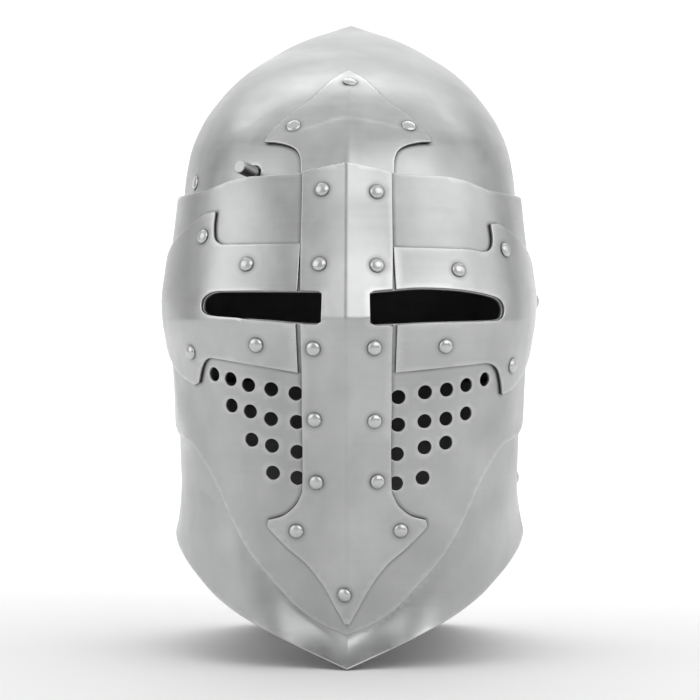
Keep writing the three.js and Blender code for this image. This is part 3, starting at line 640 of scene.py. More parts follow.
def cut_sheet(loops, inner):
    """The points and triangles of a sheet, and which point each point of its loops became."""
    edges, start = [], 0
    for loop in loops:
        count = len(loop)
        edges += [(start + k, start + (k + 1) % count) for k in range(count)]
        start += count
    points = [Vector(p) for p in np.vstack([*loops, inner])]
    flat, _, faces, origin, _, _ = delaunay_2d_cdt(points, edges, [], 0, WELD, True)
    flat, faces = np.array([tuple(p) for p in flat]), np.array(faces)
    faces = faces[inside(flat[faces].mean(axis=1), loops)]
    corners = flat[faces]
    turned = np.cross(corners[:, 1] - corners[:, 0], corners[:, 2] - corners[:, 0]) < 0
    faces[turned] = faces[turned][:, ::-1]
    return flat, faces, {source: i for i, sources in enumerate(origin) for source in sources}


def grime_and_shade(surface, positions, flat, rise, rivet_places, laid_on):
    """How much grime and painted contact shadow lies on each point, round the rivets and along the plates
    that are laid on.
    """
    soot = np.zeros(len(positions))
    for place in rivet_places:
        spot, way = one(surface, *place)
        gap = np.linalg.norm(positions - (spot + rise * way), axis=1) / MM
        soot = np.maximum(soot, np.interp(gap, *RIVET_GRIME_AND_SHADE))
    if laid_on:
        gap = distance_to(flat, laid_on) / MM
        soot[:len(flat)] = np.maximum(soot[:len(flat)], np.interp(gap, *LAID_GRIME_AND_SHADE))
    return soot


def bent_plate(name, surface, pattern, loops, rise, wall, pitch, roll, rivet_places=(), laid_on=()):
    """A plate cut in the flat, bent to its surface, with rounded edges and even walls."""
    laid_on = [divided(pattern.to_flat(line), LAID_STEP) for line in laid_on]
    loops = [loop if (signed_area(loop) > 0) == (i == 0) else loop[::-1] for i, loop in enumerate(loops)]
    loops = [divided(loop, OUTLINE_STEP * pitch if i == 0 else pitch) for i, loop in enumerate(loops)]
    inner = sheet_points(surface, pattern, loops, pitch, rivet_places, laid_on)
    flat, faces, place = cut_sheet(loops, inner)

    angle, share = pattern.from_flat(flat)
    base, way = surface(angle, share), facing(surface, angle, share)
    outer, under = base + rise * way, base + (rise - wall) * way
    count = len(flat)
    positions, normals = [outer, under], [way, -way]
    polygons = [faces, faces[:, ::-1] + count]
    quads, total = [], 2 * count
    # For each point: how bright its worn edge is, with a painted highlight, and how much painted shade lies
    # on the cut walls and the underside
    marks = {"edge": [np.zeros(2 * count)], "wall": [np.repeat((0.0, 1.0), count)]}
    start, last = 0, len(EDGE_TURNS) - 1
    for loop in loops:
        ids = np.array([place[start + k] for k in range(len(loop))])
        start += len(loop)
        run = unit(np.roll(base[ids], -1, axis=0) - np.roll(base[ids], 1, axis=0))
        out = unit(np.cross(run, way[ids]))
        rings = []
        for k, turn in enumerate(np.radians(EDGE_TURNS)):
            depth = rise - roll if k <= last // 2 else rise - wall + roll
            lean = math.sin(turn) * out + math.cos(turn) * way[ids]
            spot = base[ids] + depth * way[ids] - roll * out + roll * lean
            if k in (0, last):
                row = ids + count * (k // last)
                positions[k // last][ids] = spot
            else:
                row = np.arange(total, total + len(ids))
                positions.append(spot)
                normals.append(lean)
                marks["edge"].append(np.full(len(ids), EDGE_WEAR_AND_HIGHLIGHT[k]))
                marks["wall"].append(np.full(len(ids), WALL_SHADE[k]))
                total += len(ids)
            rings.append(row)
        marks["edge"][0][ids] = EDGE_WEAR_AND_HIGHLIGHT[0]
        for upper, lower in zip(rings, rings[1:]):
            quads.append(np.stack([upper, lower, np.roll(lower, -1), np.roll(upper, -1)], axis=-1))
    positions, normals = np.vstack(positions), np.vstack(normals)
    polygons = [p for block in (*polygons, *quads) for p in block.tolist()]
    # Grime and painted contact shadow round the rivets and along the plates laid on this one
    soot = grime_and_shade(surface, positions, flat, rise, rivet_places, laid_on)
    fields = {key: np.concatenate(values) for key, values in marks.items()}
    return mesh_object(name, positions, polygons, normals, {**fields, "soot": soot})


def linked(name, data):
    """An object of the scene, at the origin."""
    thing = bpy.data.objects.new(name, data)
    bpy.context.scene.collection.objects.link(thing)
    return thing


def mesh_object(name, positions, polygons, normals=None, attributes=None):
    """A mesh at the origin, smooth, with the normals of the true surface."""
    mesh = bpy.data.meshes.new(name)
    mesh.from_pydata([tuple(p) for p in positions], [], polygons)
    mesh.polygons.foreach_set("use_smooth", [True] * len(mesh.polygons))
    for key, values in (attributes or {}).items():
        mesh.attributes.new(key, "FLOAT", "POINT").data.foreach_set("value", np.asarray(values, np.float32))
    if normals is not None:
        mesh.normals_split_custom_set_from_vertices([tuple(n) for n in unit(normals)])
    mesh.update()
    return linked(name, mesh)


def fitted(thing, body, material, slot_name, *nodes):
    """The last steps of each piece: its finish, the body it rides on and the nodes it stands for.

    The material is None where a node tree has set it already.
    """
    if material is not None:
        thing.data.materials.clear()
        thing.data.materials.append(material)
    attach(thing, body)
    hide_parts(*nodes)


def places_on(plate):
    """The places of the rivets that go through a plate."""
    return [(angle, share) for _, through, angle, share in RIVETS if through == plate]


class NodeTree:
    """A short way to add nodes and joins to a tree."""

    def __init__(self, tree):
        self.tree = tree

    def add(self, kind, inputs=None, **settings):
        """Adds a node, with what feeds its inputs."""
        node = self.tree.nodes.new(kind)
        for key, value in settings.items():
            setattr(node, key, value)
        for key, value in (inputs or {}).items():
            self.feed(node.inputs[key], value)
        return node

    def out(self, kind, inputs=None, **settings):
        """Adds a node and gives its first output."""
        return self.add(kind, inputs, **settings).outputs[0]

    def feed(self, socket, value):
        if isinstance(value, bpy.types.NodeSocket):
            self.tree.links.new(value, socket)
        else:
            socket.default_value = value

    def math(self, operation, a, b, clamp=False):
        return self.out("ShaderNodeMath", {0: a, 1: b}, operation=operation, use_clamp=clamp)

    def vector(self, x, y, z):
        return self.out("ShaderNodeCombineXYZ", {0: x, 1: y, 2: z})

    def mix(self, share, a, b):
        """A colour between two."""
        return self.add("ShaderNodeMix", {0: share, 6: a, 7: b}, data_type="RGBA").outputs[2]


def new_material(name):
    """A material, with its shader."""
    material = bpy.data.materials.new(name)
    material.use_nodes = True
    return material, material.node_tree.nodes["Principled BSDF"]


def steel(name, colour, roughness, cloud=0.14, grain=1.0):
    """Satin steel: cloudy polish, fine scratches, worn edges lightened with a painted highlight, cut walls
    and underside darkened with painted shade, and grime with painted contact shadow round the rivets.
    """
    material, shader = new_material(name)
    shader.inputs["Metallic"].default_value = 1.0
    tree = NodeTree(material.node_tree)
    place = tree.add("ShaderNodeTexCoord").outputs["Object"]

    def noise(scale, detail=3.0, squeeze=(1, 1, 1)):
        spread = tree.out("ShaderNodeMapping", {"Vector": place, "Scale": squeeze})
        return tree.out("ShaderNodeTexNoise", {"Vector": spread, "Scale": scale, "Detail": detail})

    def ranged(value, low, high, to_low, to_high):
        inputs = {0: value, 1: low, 2: high, 3: to_low, 4: to_high}
        return tree.out("ShaderNodeMapRange", inputs, clamp=True)

    def marked(key):
        return tree.add("ShaderNodeAttribute", attribute_name=key).outputs["Fac"]

    clouds = noise(19, 4.0)
    patches = noise(62, 6.0, (1, 1, 0.6))
    scratches = noise(420, 3.0, (1, 1, 0.06))
    strokes = noise(420, 3.0, (0.05, 0.05, 1))
    grit = noise(2600, 2.0)
    dents = noise(34, 2.0, (1, 1, 0.7))
    edge, soot, wall = marked("edge"), marked("soot"), marked("wall")

    # Smudges fray the grime and painted contact shadow, and all, with the painted shade of the cut walls and
    # underside, darken the bare steel, which is lightened at its worn edges with a painted highlight
    frayed = tree.math("MULTIPLY", soot, ranged(patches, 0.3, 0.7, 0.55, 1.15))
    tone = ranged(clouds, 0.34, 0.66, 1 - cloud, 1.0)
    for layer in (
        ranged(patches, 0.3, 0.72, 1 - 0.8 * cloud, 1.0),
        ranged(strokes, 0.3, 0.7, 1 - 0.25 * cloud, 1.0),
        ranged(frayed, 0, 1, 1.0, 0.38),
        ranged(wall, 0, 1, 1.0, 0.42),
    ):
        tone = tree.math("MULTIPLY", tone, layer)
    bare = tree.mix(ranged(edge, 0, 1, 0.0, 0.30), (*colour, 1.0), (0.9, 0.9, 0.9, 1.0))
    tree.feed(shader.inputs["Base Color"], tree.mix(tone, (0.0, 0.0, 0.0, 1.0), bare))

    rough = ranged(clouds, 0.3, 0.7, roughness + 0.05, roughness - 0.04)
    for layer in (
        ranged(patches, 0.35, 0.7, -0.04, 0.05),
        ranged(strokes, 0.35, 0.7, -0.03, 0.03),
        tree.math("MULTIPLY", edge, -0.10),
        tree.math("MULTIPLY", wall, 0.25),
        tree.math("MULTIPLY", frayed, 0.08),
    ):
        rough = tree.math("ADD", rough, layer, clamp=True)
    tree.feed(shader.inputs["Roughness"], rough)

    height = tree.math("MULTIPLY", scratches, 0.5)
    for layer, weight in ((strokes, 0.6), (grit, 0.25)):
        height = tree.math("ADD", height, tree.math("MULTIPLY", layer, weight))
    inputs = {"Height": height, "Strength": 0.10 * grain, "Distance": 0.0006}
    bump = tree.out("ShaderNodeBump", inputs)
    inputs = {"Height": dents, "Strength": 0.5 * grain, "Distance": 0.0011, "Normal": bump}
    tree.feed(shader.inputs["Normal"], tree.out("ShaderNodeBump", inputs))
    return material


def plain(name, colour, roughness):
    """A matt surface of one colour."""
    material, shader = new_material(name)
    shader.inputs["Base Color"].default_value = (*colour, 1.0)
    shader.inputs["Roughness"].default_value = roughness
    return material


def named_steel(name, *values):
    """A steel that several pieces share, made once."""
    return bpy.data.materials.get(name) or steel(name, *values)


def plate_steel(finish):
    return named_steel("satin_plate_steel", finish.plate_colour, finish.plate_roughness)


def cross_steel(finish):
    return named_steel("satin_cross_steel", finish.cross_colour, finish.cross_roughness)


def rivet_steel(finish):
    return named_steel("polished_rivet_steel", finish.rivet_colour, finish.rivet_roughness, 0.04, 0.6)


def pin_steel(finish):
    return named_steel("turned_pin_steel", finish.pin_colour, finish.pin_roughness, 0.05, 1.2)


def new_tree(name, output, *inputs):
    """A node group with its named inputs, its one output, and how a modifier calls each input."""
    group = bpy.data.node_groups.new(name, "GeometryNodeTree")
    ids = {}
    for label, kind, default in inputs:
        socket = group.interface.new_socket(name=label, in_out="INPUT", socket_type=f"NodeSocket{kind}")
        if default is not None:
            socket.default_value = default
        ids[label] = socket.identifier
    group.interface.new_socket(name=output, in_out="OUTPUT", socket_type="NodeSocketGeometry")
    tree = NodeTree(group)
    return group, ids, tree, tree.add("NodeGroupInput").outputs


def place_instances(tree, given, inputs):
    """Ends a tree with one plain mesh of instances on its points."""
    made = tree.out("GeometryNodeInstanceOnPoints", {"Points": given["Points"], **inputs})
    made = tree.out("GeometryNodeRealizeInstances", {"Geometry": made})
    made = tree.out("GeometryNodeSetMaterial", {"Geometry": made, "Material": given["Material"]})
    tree.feed(tree.add("NodeGroupOutput").inputs[0], made)


def rivet_tree():
    """Instances a low domed head, seated along its way, on each point of a mesh."""
    group, ids, tree, given = new_tree(
        "rivet_heads", "Heads",
        ("Points", "Geometry", None),
        ("Head Radius", "Float", 0.0044),
        ("Sides", "Int", 28),
        ("Tilt", "Float", 0.05),
        ("Seed", "Int", 7),
        ("Material", "Material", None),
    )
    ball = tree.out("GeometryNodeMeshUVSphere", {"Segments": given["Sides"], "Rings": 18, "Radius": 1.0})
    split = tree.add("ShaderNodeSeparateXYZ", {0: tree.out("GeometryNodeInputPosition")}).outputs
    crown = tree.math("POWER", tree.math("MAXIMUM", split[2], 0.0), DOME_POWER)
    domed = tree.vector(split[0], split[1], crown)
    dome = tree.out("GeometryNodeSetPosition", {"Geometry": ball, "Position": domed})
    dome = tree.out("GeometryNodeSetShadeSmooth", {"Geometry": dome})
    way = tree.out("GeometryNodeInputNamedAttribute", {"Name": "way"}, data_type="FLOAT_VECTOR")
    rise = tree.out("GeometryNodeInputNamedAttribute", {"Name": "rise"}, data_type="FLOAT")
    turn = tree.out("FunctionNodeAlignRotationToVector", {"Vector": way}, axis="Z")
    low = tree.math("MULTIPLY", given["Tilt"], -1.0)
    high = given["Tilt"]
    inputs = {0: tree.vector(low, low, -3.0), 1: tree.vector(high, high, 3.0), "Seed": given["Seed"]}
    lean = tree.out("FunctionNodeRandomValue", inputs, data_type="FLOAT_VECTOR")
    nudge = tree.out("FunctionNodeEulerToRotation", {0: lean})
    turn = tree.out("FunctionNodeRotateRotation", {0: turn, 1: nudge}, rotation_space="LOCAL")
    size = tree.vector(given["Head Radius"], given["Head Radius"], rise)
    place_instances(tree, given, {"Instance": dome, "Rotation": turn, "Scale": size})
    return group, ids


def punch_tree():
    """Instances a round punch mark, drawn out as the bending needs, on each point of a mesh."""
    group, ids, tree, given = new_tree(
        "punched_holes", "Holes",
        ("Points", "Geometry", None),
        ("Hole Radius", "Float", 0.0042),
        ("Sides", "Int", 28),
        ("Material", "Material", None),
    )
    mark = tree.out("GeometryNodeMeshCircle", {"Vertices": given["Sides"], "Radius": given["Hole Radius"]})
    drawn = tree.out("GeometryNodeInputNamedAttribute", {"Name": "stretch"}, data_type="FLOAT_VECTOR")
    place_instances(tree, given, {"Instance": mark, "Scale": drawn})
    return group, ids


def grown(name, points, attributes, make_tree, values):
    """Runs a node tree on a few points and returns the plain mesh that it makes."""
    mesh = bpy.data.meshes.new(name)
    mesh.from_pydata([tuple(p) for p in points], [], [])
    for key, kind, data in attributes:
        field = "vector" if kind == "FLOAT_VECTOR" else "value"
        mesh.attributes.new(key, kind, "POINT").data.foreach_set(field, np.asarray(data, np.float32).ravel())
    thing = linked(name, mesh)
    group, ids = make_tree()
    modifier = thing.modifiers.new("nodes", "NODES")
    modifier.node_group = group
    for key, value in values.items():
        modifier[ids[key]] = value
    bpy.context.view_layer.update()
    made = bpy.data.meshes.new_from_object(thing.evaluated_get(bpy.context.evaluated_depsgraph_get()))
    thing.modifiers.clear()
    thing.data = made
    return thing


RIVET_PLATES = {
    "finial": ("helm", finial_point, PLATE_GAP + FINIAL_WALL, LOW_RIVET_SHARE),
    "upright": ("visor", visor_point, PLATE_GAP + UPRIGHT_WALL, 1.0),
    "arm": ("visor", visor_point, PLATE_GAP + ARM_WALL, 1.0),
    "throat": ("helm", bevor_point, 0.0, 1.0),
    "skull": ("helm", skull_point, 0.0, LOW_RIVET_SHARE),
}


def one(surface, angle, share):
    """A point of a surface and the way it faces there, as vectors."""
    a, s = np.array([float(angle)]), np.array([float(share)])
    return Vector(surface(a, s)[0]), Vector(facing(surface, a, s)[0])


def turned_rod(name, start, way, profile, sides=40):
    """A round rod, from a profile of (radius, distance) along its way."""
    turn = Vector((0, 0, 1)).rotation_difference(way).to_matrix()
    positions, polygons = [], []
    for radius, along in profile:
        for k in range(sides):
            a = k * math.tau / sides
            spot = turn @ Vector((radius * math.cos(a), radius * math.sin(a), along))
            positions.append(tuple(start + spot))
    for row in range(len(profile) - 1):
        for k in range(sides):
            a, b = row * sides + k, row * sides + (k + 1) % sides
            polygons.append((a, b, b + sides, a + sides))
    polygons.append(tuple(range(sides))[::-1])
    polygons.append(tuple(range((len(profile) - 1) * sides, len(profile) * sides)))
    return mesh_object(name, positions, polygons)


def length(name, description, default):
    return bpy.props.FloatProperty(name=name, description=description, default=default, unit="LENGTH")


def colour(name, description, *default):
    return bpy.props.FloatVectorProperty(name=name, description=description, default=default, subtype="COLOR")


def number(name, description, default):
    return bpy.props.FloatProperty(name=name, description=description, default=default)


class BascinetSizes(bpy.types.PropertyGroup):
    lattice: length("Lattice", "Distance between the points of a plate", 0.003)
    edge_roll: length("Edge Roll", "Radius of the filed edges", 0.00055)
    rivet_radius: length("Rivet Radius", "Radius of a rivet's head", 0.0044)
    rivet_rise: length("Rivet Rise", "Height of a rivet's head", 0.0028)
    pivot_radius: length("Pivot Radius", "Radius of a pivot's head", 0.0052)
    breath_radius: length("Breath Radius", "Radius of a breath hole", 0.0042)
    sides: bpy.props.IntProperty(name="Sides", description="Sides of round things", default=28, min=12)


class BascinetFinish(bpy.types.PropertyGroup):
    plate_colour: colour("Plate Colour", "Steel of the large plates", 0.53, 0.533, 0.537)
    cross_colour: colour("Cross Colour", "Steel of the cross", 0.56, 0.563, 0.567)
    rivet_colour: colour("Rivet Colour", "Steel of the rivets", 0.60, 0.603, 0.607)
    pin_colour: colour("Pin Colour", "Steel of the catch pin", 0.48, 0.482, 0.486)
    floor_colour: colour("Floor Colour", "Pale studio floor", 0.86, 0.86, 0.86)
    plate_roughness: number("Plate Roughness", "Satin plates", 0.40)
    cross_roughness: number("Cross Roughness", "Satin cross", 0.37)
    rivet_roughness: number("Rivet Roughness", "Polished heads", 0.28)
    pin_roughness: number("Pin Roughness", "Turned pin", 0.34)


class BascinetStudio(bpy.types.PropertyGroup):
    camera_distance: length("Camera Distance", "From the pivot line", 1.6)
    camera_height: length("Camera Height", "Above the floor", 0.190)
    camera_turn: bpy.props.FloatProperty(
        name="Camera Turn", description="Round the helm", default=math.radians(0.7), subtype="ANGLE"
    )
    lens: number("Lens", "Focal length in millimetres", 126.2)
    world_strength: number("World Strength", "Soft light all round", 0.57)
    key_power: number("Key Power", "Front softboxes", 8.0)
    top_power: number("Top Power", "Overhead softbox", 4.3)
    back_power: number("Back Power", "Light on the backdrop", 85.0)


def settings():
    scene = bpy.context.scene
    return scene.bascinet_sizes, scene.bascinet_finish, scene.bascinet_studio


def catch_share():
    """The height at which the catch pin clears the visor's upper edge."""
    edge = np.interp(abs(CATCH_ANGLE), VISOR_TOP["angle"], VISOR_TOP["height"])
    return edge + (CATCH_RADIUS + 2 * PLATE_GAP) / HELM_HEIGHT


class BASCINET_OT_skull(bpy.types.Operator):
    """Raises the pointed, keeled bowl, open at the face, with the hole of the catch pin."""

    bl_idname = "bascinet.skull"
    bl_label = "Skull"

    def execute(self, context):
        sizes, finish, _ = settings()
        pattern = RoundPattern()
        angles = np.arange(0, 360, SKULL_FOOT_STEP)
        foot = smooth(SKULL_FOOT, "height", np.abs(folded(angles)), "angle")
        outline = pattern.to_flat(np.stack([angles, foot], axis=-1))
        hole = CATCH_RADIUS + CATCH_CLEARANCE
        loops = [outline, ring_in_flat(skull_point, pattern, CATCH_ANGLE, catch_share(), hole, 32)]
        shell = bent_plate(
            "skull_plate", skull_point, pattern, loops, 0, SKULL_WALL, sizes.lattice, sizes.edge_roll,
            places_on("skull"), [finial_line()],
        )
        fitted(shell, "helm", plate_steel(finish), "plate_steel", "skull")
        return {"FINISHED"}


class BASCINET_OT_throat(bpy.types.Operator):
    """Flares the front and rear throat plates from their waist to the rim."""

    bl_idname = "bascinet.throat"
    bl_label = "Throat Plates"

    def execute(self, context):
        sizes, finish, _ = settings()
        plates = (
            ("bevor_plate", "bevor", bevor_point, -BEVOR_END_ANGLE, BEVOR_END_ANGLE, places_on("throat")),
            ("neck_plate_flared", "neck_plate", neck_point, NECK_START_ANGLE, 360 - NECK_START_ANGLE, ()),
        )
        pattern = FlatPattern(CREASE)
        for name, node, surface, start, end, rivets in plates:
            angles = np.arange(start, end + 0.5, 1.0)
            rim = edge_line(THROAT_EDGES, "rim", angles, RIM_LIFT)
            top = edge_line(THROAT_EDGES, "top", angles)[::-1]
            loop = pattern.to_flat(np.array(rim + top))
            plate = bent_plate(
                name, surface, pattern, [loop], 0, THROAT_WALL, sizes.lattice, THROAT_ROLL, rivets
            )
            fitted(plate, "helm", plate_steel(finish), "plate_steel", node)
        return {"FINISHED"}


def slot_line(rows):
    """The outline of an eye slot, square at the nose and rounded at its far end."""
    foot = list(zip(rows["angle"], rows["foot"]))
    top = list(zip(rows["angle"], rows["top"]))[::-1]
    along = math.copysign(SLOT_CORNER_ANGLE, foot[0][0])
    corner_top, corner_foot = (top[-1][0] + along, top[-1][1]), (foot[0][0] + along, foot[0][1])
    nose = ((top[-1][0], top[-1][1] - SLOT_CORNER_SHARE), (foot[0][0], foot[0][1] + SLOT_CORNER_SHARE))
    far = [corner_foot, *foot[1:], *top[:-1], corner_top]
    return chain(far, (corner_top, nose[0]), nose, (nose[1], corner_foot), closed=True)


def punched_holes(sizes, finish):
    """The breath holes, drawn in the flat."""
    pattern = FlatPattern()
    places = list(zip(BREATHS["angle"], BREATHS["height"]))
    flat = pattern.to_flat(np.array(places))
    stretch = [(*stretch_at(visor_point, pattern, *place), 1.0) for place in places]
    points = np.column_stack([flat, np.zeros(len(flat))])
    values = {"Hole Radius": sizes.breath_radius, "Sides": sizes.sides, "Material": plate_steel(finish)}
    marks = grown("breath_marks", points, [("stretch", "FLOAT_VECTOR", stretch)], punch_tree, values)
    corners = np.array([tuple(v.co) for v in marks.data.vertices])[:, :2]
    bpy.data.objects.remove(marks)
    return list(corners.reshape(len(places), sizes.sides, 2))


class BASCINET_OT_visor(bpy.types.Operator):
    """Cuts the visor with its eye slots and breath holes and bends it to its keeled form."""

    bl_idname = "bascinet.visor"
    bl_label = "Visor"

    def execute(self, context):
        sizes, finish, _ = settings()
        pattern = FlatPattern(CREASE)
        angles = np.arange(-VISOR_END_ANGLE, VISOR_END_ANGLE + 0.5, 1.0)
        loop = edge_line(VISOR_FOOT, "height", angles) + edge_line(VISOR_TOP, "height", angles)[::-1]
        slots = [pattern.to_flat(slot_line(rows)) for rows in (SLOT_LEFT, SLOT_RIGHT)]
        loops = [pattern.to_flat(np.array(loop)), *slots, *punched_holes(sizes, finish)]
        cross = [upright_line(), arm_line(ARM_LEFT, SLOT_LEFT, -1), arm_line(ARM_RIGHT, SLOT_RIGHT, 1)]
        plate = bent_plate(
            "visor_plate", visor_point, pattern, loops, 0, VISOR_WALL, sizes.lattice, sizes.edge_roll,
            laid_on=cross,
        )
        fitted(plate, "visor", plate_steel(finish), "plate_steel", "visor")
        return {"FINISHED"}


def upright_line():
    """The upright's outline, notched for the eye slots."""
    top = edge_line(VISOR_TOP, "height", np.arange(10.8, -10.9, -0.9), -UPRIGHT_DROP)
    brow = [(-angle, height) for angle, height in UPRIGHT_BROW[:0:-1]] + [NOTCH_LEFT[0]]
    foot = mirrored(UPRIGHT_FOOT)
    foot[0][0] = NOTCH_LEFT[-1]
    right = chain(*UPRIGHT_FOOT, *straight(NOTCH_RIGHT), UPRIGHT_BROW)
    return np.vstack([right, top, chain(brow, *straight(NOTCH_LEFT), *foot)])


def arm_line(pieces, slot, side):
    """An arm's outline: two prongs round the eye slot and a leaf that runs back to the pivot."""
    inner = pieces[0][0][0]
    reach = np.abs(slot["angle"])
    inset = reach > inner
    start_top = smooth({"angle": reach, "top": slot["top"]}, "top", inner, "angle")
    start_foot = smooth({"angle": reach, "foot": slot["foot"]}, "foot", inner, "angle")
    top = [(inner, float(start_top))] + list(zip(reach[inset], slot["top"][inset]))
    foot = list(zip(reach[inset], slot["foot"][inset]))[::-1] + [(inner, float(start_foot))]
    return chain(*pieces, (pieces[-1][-1], top[0]), top + foot) * (side, 1)


def finial_line():
    """The brow finial's outline."""
    return np.vstack([chain(*BROW_FINIAL), chain(*mirrored(BROW_FINIAL))])


class BASCINET_OT_cross(bpy.types.Operator):
    """Lays the upright and the arms of the cross on the visor."""

    bl_idname = "bascinet.cross"
    bl_label = "Cross"

    def execute(self, context):
        sizes, finish, _ = settings()
        pattern, arm_rivets = FlatPattern(CREASE), places_on("arm")
        plates = (
            ("upright_plate", "visor_upright", upright_line(), UPRIGHT_WALL, places_on("upright")),
            ("arm_plate_left", "visor_arm_left", arm_line(ARM_LEFT, SLOT_LEFT, -1), ARM_WALL, arm_rivets),
            ("arm_plate_right", "visor_arm_right", arm_line(ARM_RIGHT, SLOT_RIGHT, 1), ARM_WALL, arm_rivets),
        )
        for name, node, line, wall, rivets in plates:
            loop = pattern.to_flat(line)
            own = [place for place in rivets if inside(pattern.to_flat(np.array([place])), [loop])[0]]
            plate = bent_plate(
                name, visor_point, pattern, [loop], PLATE_GAP + wall, wall, sizes.lattice, sizes.edge_roll,
                own,
            )
            fitted(plate, "visor", cross_steel(finish), "cross_steel", node)
        return {"FINISHED"}


class BASCINET_OT_finial(bpy.types.Operator):
    """Lays the cross's upper end on the skull's brow."""

    bl_idname = "bascinet.finial"
    bl_label = "Brow Finial"

    def execute(self, context):
        sizes, finish, _ = settings()
        pattern = FlatPattern()
        plate = bent_plate(
            "finial_plate", finial_point, pattern, [pattern.to_flat(finial_line())], PLATE_GAP + FINIAL_WALL,
            FINIAL_WALL, sizes.lattice / 2, sizes.edge_roll, places_on("finial"),
        )
        fitted(plate, "helm", cross_steel(finish), "cross_steel", "brow_finial")
        return {"FINISHED"}


class BASCINET_OT_rivets(bpy.types.Operator):
    """Seats a domed head on each rivet's place, as one mesh for each body."""

    bl_idname = "bascinet.rivets"
    bl_label = "Rivets"

    def execute(self, context):
        sizes, finish, _ = settings()
        for body in ("helm", "visor"):
            points, ways, rises, nodes = [], [], [], []
            for node, plate, angle, share in RIVETS:
                rides_on, surface, seat, low = RIVET_PLATES[plate]
                if rides_on == body:
                    spot, way = one(surface, angle, share)
                    points.append(spot + way * (seat - RIVET_SINK))
                    ways.append(tuple(way))
                    rises.append(low * sizes.rivet_rise)
                    nodes.append(node)
            fields = [("way", "FLOAT_VECTOR", ways), ("rise", "FLOAT", rises)]
            values = {"Head Radius": sizes.rivet_radius, "Sides": sizes.sides}
            values["Material"] = rivet_steel(finish)
            heads = grown(f"rivet_heads_{body}", points, fields, rivet_tree, values)
            fitted(heads, body, None, "rivet_steel", *nodes)
        return {"FINISHED"}


class BASCINET_OT_pivots(bpy.types.Operator):
    """Turns the two pivots: domed head, shank, collar between the plates and clenched end."""

    bl_idname = "bascinet.pivots"
    bl_label = "Pivots"

    def execute(self, context):
        sizes, finish, _ = settings()
        for side, node in ((-1, "pivot_left"), (1, "pivot_right")):
            low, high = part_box(node)
            spot, _ = one(visor_point, side * 90, PIVOT_SHARE)
            seat = abs(spot.x) + PLATE_GAP + ARM_WALL
            skull_side, _ = one(skull_point, side * 90, PIVOT_SHARE)
            skull_out, visor_in = abs(skull_side.x), abs(spot.x) - VISOR_WALL
            clench, collar = skull_out - SKULL_WALL - 0.5 * MM, 0.95 * sizes.pivot_radius
            near_skull, near_visor = skull_out + 0.6 * MM, visor_in - 0.4 * MM
            tip = min(abs(low.x), abs(high.x))
            radius, rise = sizes.pivot_radius, PIVOT_REACH - 0.1 * MM - seat
            profile = [
                (0.4 * MM, tip), (0.8 * radius, tip + 1 * MM), (0.9 * radius, clench), (PIVOT_SHANK, clench),
                (PIVOT_SHANK, near_skull), (collar, near_skull), (collar, near_visor),
                (PIVOT_SHANK, near_visor), (PIVOT_SHANK, seat),
            ]
            for turn in np.linspace(0.0, 0.98 * math.pi / 2, 10):
                profile.append((radius * math.cos(turn), seat + rise * math.sin(turn) ** DOME_POWER))
            start, way = Vector((0, PIVOT_LINE, PIVOT_SHARE * HELM_HEIGHT)), Vector((side, 0, 0))
            rod = turned_rod(f"pivot_rivet_{'left' if side < 0 else 'right'}", start, way, profile)
            fitted(rod, "helm", rivet_steel(finish), "rivet_steel", node)
        return {"FINISHED"}


class BASCINET_OT_catch(bpy.types.Operator):
    """Turns the sprung pin that keeps the visor shut, with its flange inside the skull."""

    bl_idname = "bascinet.catch"
    bl_label = "Catch Pin"

    def execute(self, context):
        _, finish, _ = settings()
        spot, way = one(skull_point, CATCH_ANGLE, catch_share())
        way.z = CATCH_RISE
        way.normalize()
        flange = -(SKULL_WALL + CATCH_FLANGE_GAP)
        inner_end, half_bevel = flange - CATCH_FLANGE_WALL, 0.3 * CATCH_BEVEL
        profile = [
            (0.3 * MM, inner_end), (CATCH_FLANGE_RADIUS, inner_end), (CATCH_FLANGE_RADIUS, flange),
            (CATCH_RADIUS, flange), (CATCH_RADIUS, CATCH_PROUD - CATCH_BEVEL),
            (CATCH_RADIUS - half_bevel, CATCH_PROUD - half_bevel), (CATCH_RADIUS - CATCH_BEVEL, CATCH_PROUD),
            (0.6 * CATCH_RADIUS, CATCH_PROUD), (0.1 * CATCH_RADIUS, CATCH_PROUD - 0.1 * MM),
        ]
        pin = turned_rod("catch_pin_turned", spot, way, profile)
        pin.data.set_sharp_from_angle(angle=math.radians(40))
        fitted(pin, "catch", pin_steel(finish), "pin_steel", "catch_pin")
        return {"FINISHED"}


def softbox(name, place, target, size, power):
    """A soft light that faces its target."""
    data = bpy.data.lights.new(name, "AREA")
    data.shape = "RECTANGLE"
    data.size, data.size_y = size
    data.energy = power
    lamp = linked(name, data)
    lamp.location = place
    lamp.rotation_euler = (Vector(target) - Vector(place)).to_track_quat("-Z", "Y").to_euler()


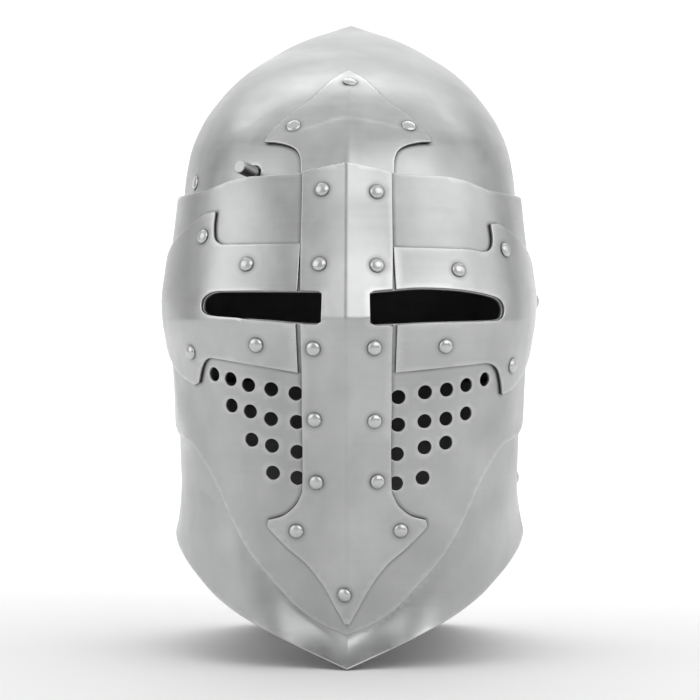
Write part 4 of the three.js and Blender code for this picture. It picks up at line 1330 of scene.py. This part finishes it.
class BASCINET_OT_stage(bpy.types.Operator):
    """Sets the helmet on a pale floor that curves up behind it, in soft light."""

    bl_idname = "bascinet.stage"
    bl_label = "Studio"

    def execute(self, context):
        _, finish, studio = settings()
        sweep = [(FLOOR_FRONT, 0.0), (FLOOR_BACK, 0.0)]
        for turn in np.linspace(0, math.pi / 2, 17)[1:]:
            sweep.append((FLOOR_BACK + COVE * math.sin(turn), COVE - COVE * math.cos(turn)))
        sweep.append((FLOOR_BACK + COVE, BACKDROP_TOP))
        positions = [(x, y, z) for y, z in sweep for x in (-FLOOR_HALF_WIDTH, FLOOR_HALF_WIDTH)]
        polygons = [(2 * k, 2 * k + 1, 2 * k + 3, 2 * k + 2) for k in range(len(sweep) - 1)]
        floor = mesh_object("studio_floor", positions, polygons)
        floor.data.materials.append(plain("pale_floor", finish.floor_colour, 0.75))

        context.scene.view_settings.view_transform = "Standard"
        world = bpy.data.worlds.new("soft_room")
        world.use_nodes = True
        back = world.node_tree.nodes["Background"]
        back.inputs["Color"].default_value = (1, 1, 1, 1)
        back.inputs["Strength"].default_value = studio.world_strength
        context.scene.world = world

        middle = (0, 0, 0.2)
        softbox("key_left", (-1.62, -0.8, 1.0), middle, (1.9, 1.6), 1.1 * studio.key_power)
        softbox("key_right", (0.90, -1.12, 1.15), middle, (1.5, 1.3), 0.95 * studio.key_power)
        softbox("side_right", (1.8, -0.1, 0.9), middle, (1.2, 1.5), 0.5 * studio.key_power)
        softbox("overhead", (0, -0.1, 2.0), middle, (2.6, 2.2), studio.top_power)
        softbox("backdrop_wash", (0, 1.4, 2.6), (0, 3.2, 0.9), (4.0, 1.2), studio.back_power)

        data = bpy.data.cameras.new("photo_camera")
        data.lens = studio.lens
        data.sensor_width = 36
        camera = linked("photo_camera", data)
        turn = studio.camera_turn
        camera.location = (
            studio.camera_distance * math.sin(turn),
            PIVOT_LINE - studio.camera_distance * math.cos(turn),
            studio.camera_height,
        )
        camera.rotation_euler = (math.pi / 2, 0, turn)
        context.scene.camera = camera
        return {"FINISHED"}


class BASCINET_PT_panel(bpy.types.Panel):
    bl_idname = "BASCINET_PT_panel"
    bl_label = "Great Bascinet"
    bl_space_type = "VIEW_3D"
    bl_region_type = "UI"
    bl_category = "Bascinet"

    def draw(self, context):
        for operator in OPERATORS:
            self.layout.operator(operator.bl_idname)


OPERATORS = (
    BASCINET_OT_skull,
    BASCINET_OT_throat,
    BASCINET_OT_visor,
    BASCINET_OT_cross,
    BASCINET_OT_finial,
    BASCINET_OT_rivets,
    BASCINET_OT_pivots,
    BASCINET_OT_catch,
    BASCINET_OT_stage,
)
GROUPS = (BascinetSizes, BascinetFinish, BascinetStudio)


def register():
    for cls in (*GROUPS, *OPERATORS, BASCINET_PT_panel):
        bpy.utils.register_class(cls)
    bpy.types.Scene.bascinet_sizes = bpy.props.PointerProperty(type=BascinetSizes)
    bpy.types.Scene.bascinet_finish = bpy.props.PointerProperty(type=BascinetFinish)
    bpy.types.Scene.bascinet_studio = bpy.props.PointerProperty(type=BascinetStudio)


def unregister():
    del bpy.types.Scene.bascinet_studio
    del bpy.types.Scene.bascinet_finish
    del bpy.types.Scene.bascinet_sizes
    for cls in reversed((*GROUPS, *OPERATORS, BASCINET_PT_panel)):
        bpy.utils.unregister_class(cls)


def main():
    register()
    bpy.ops.bascinet.skull()
    bpy.ops.bascinet.throat()
    bpy.ops.bascinet.visor()
    bpy.ops.bascinet.cross()
    bpy.ops.bascinet.finial()
    bpy.ops.bascinet.rivets()
    bpy.ops.bascinet.pivots()
    bpy.ops.bascinet.catch()
    bpy.ops.bascinet.stage()


if __name__ == "__main__":
    main()
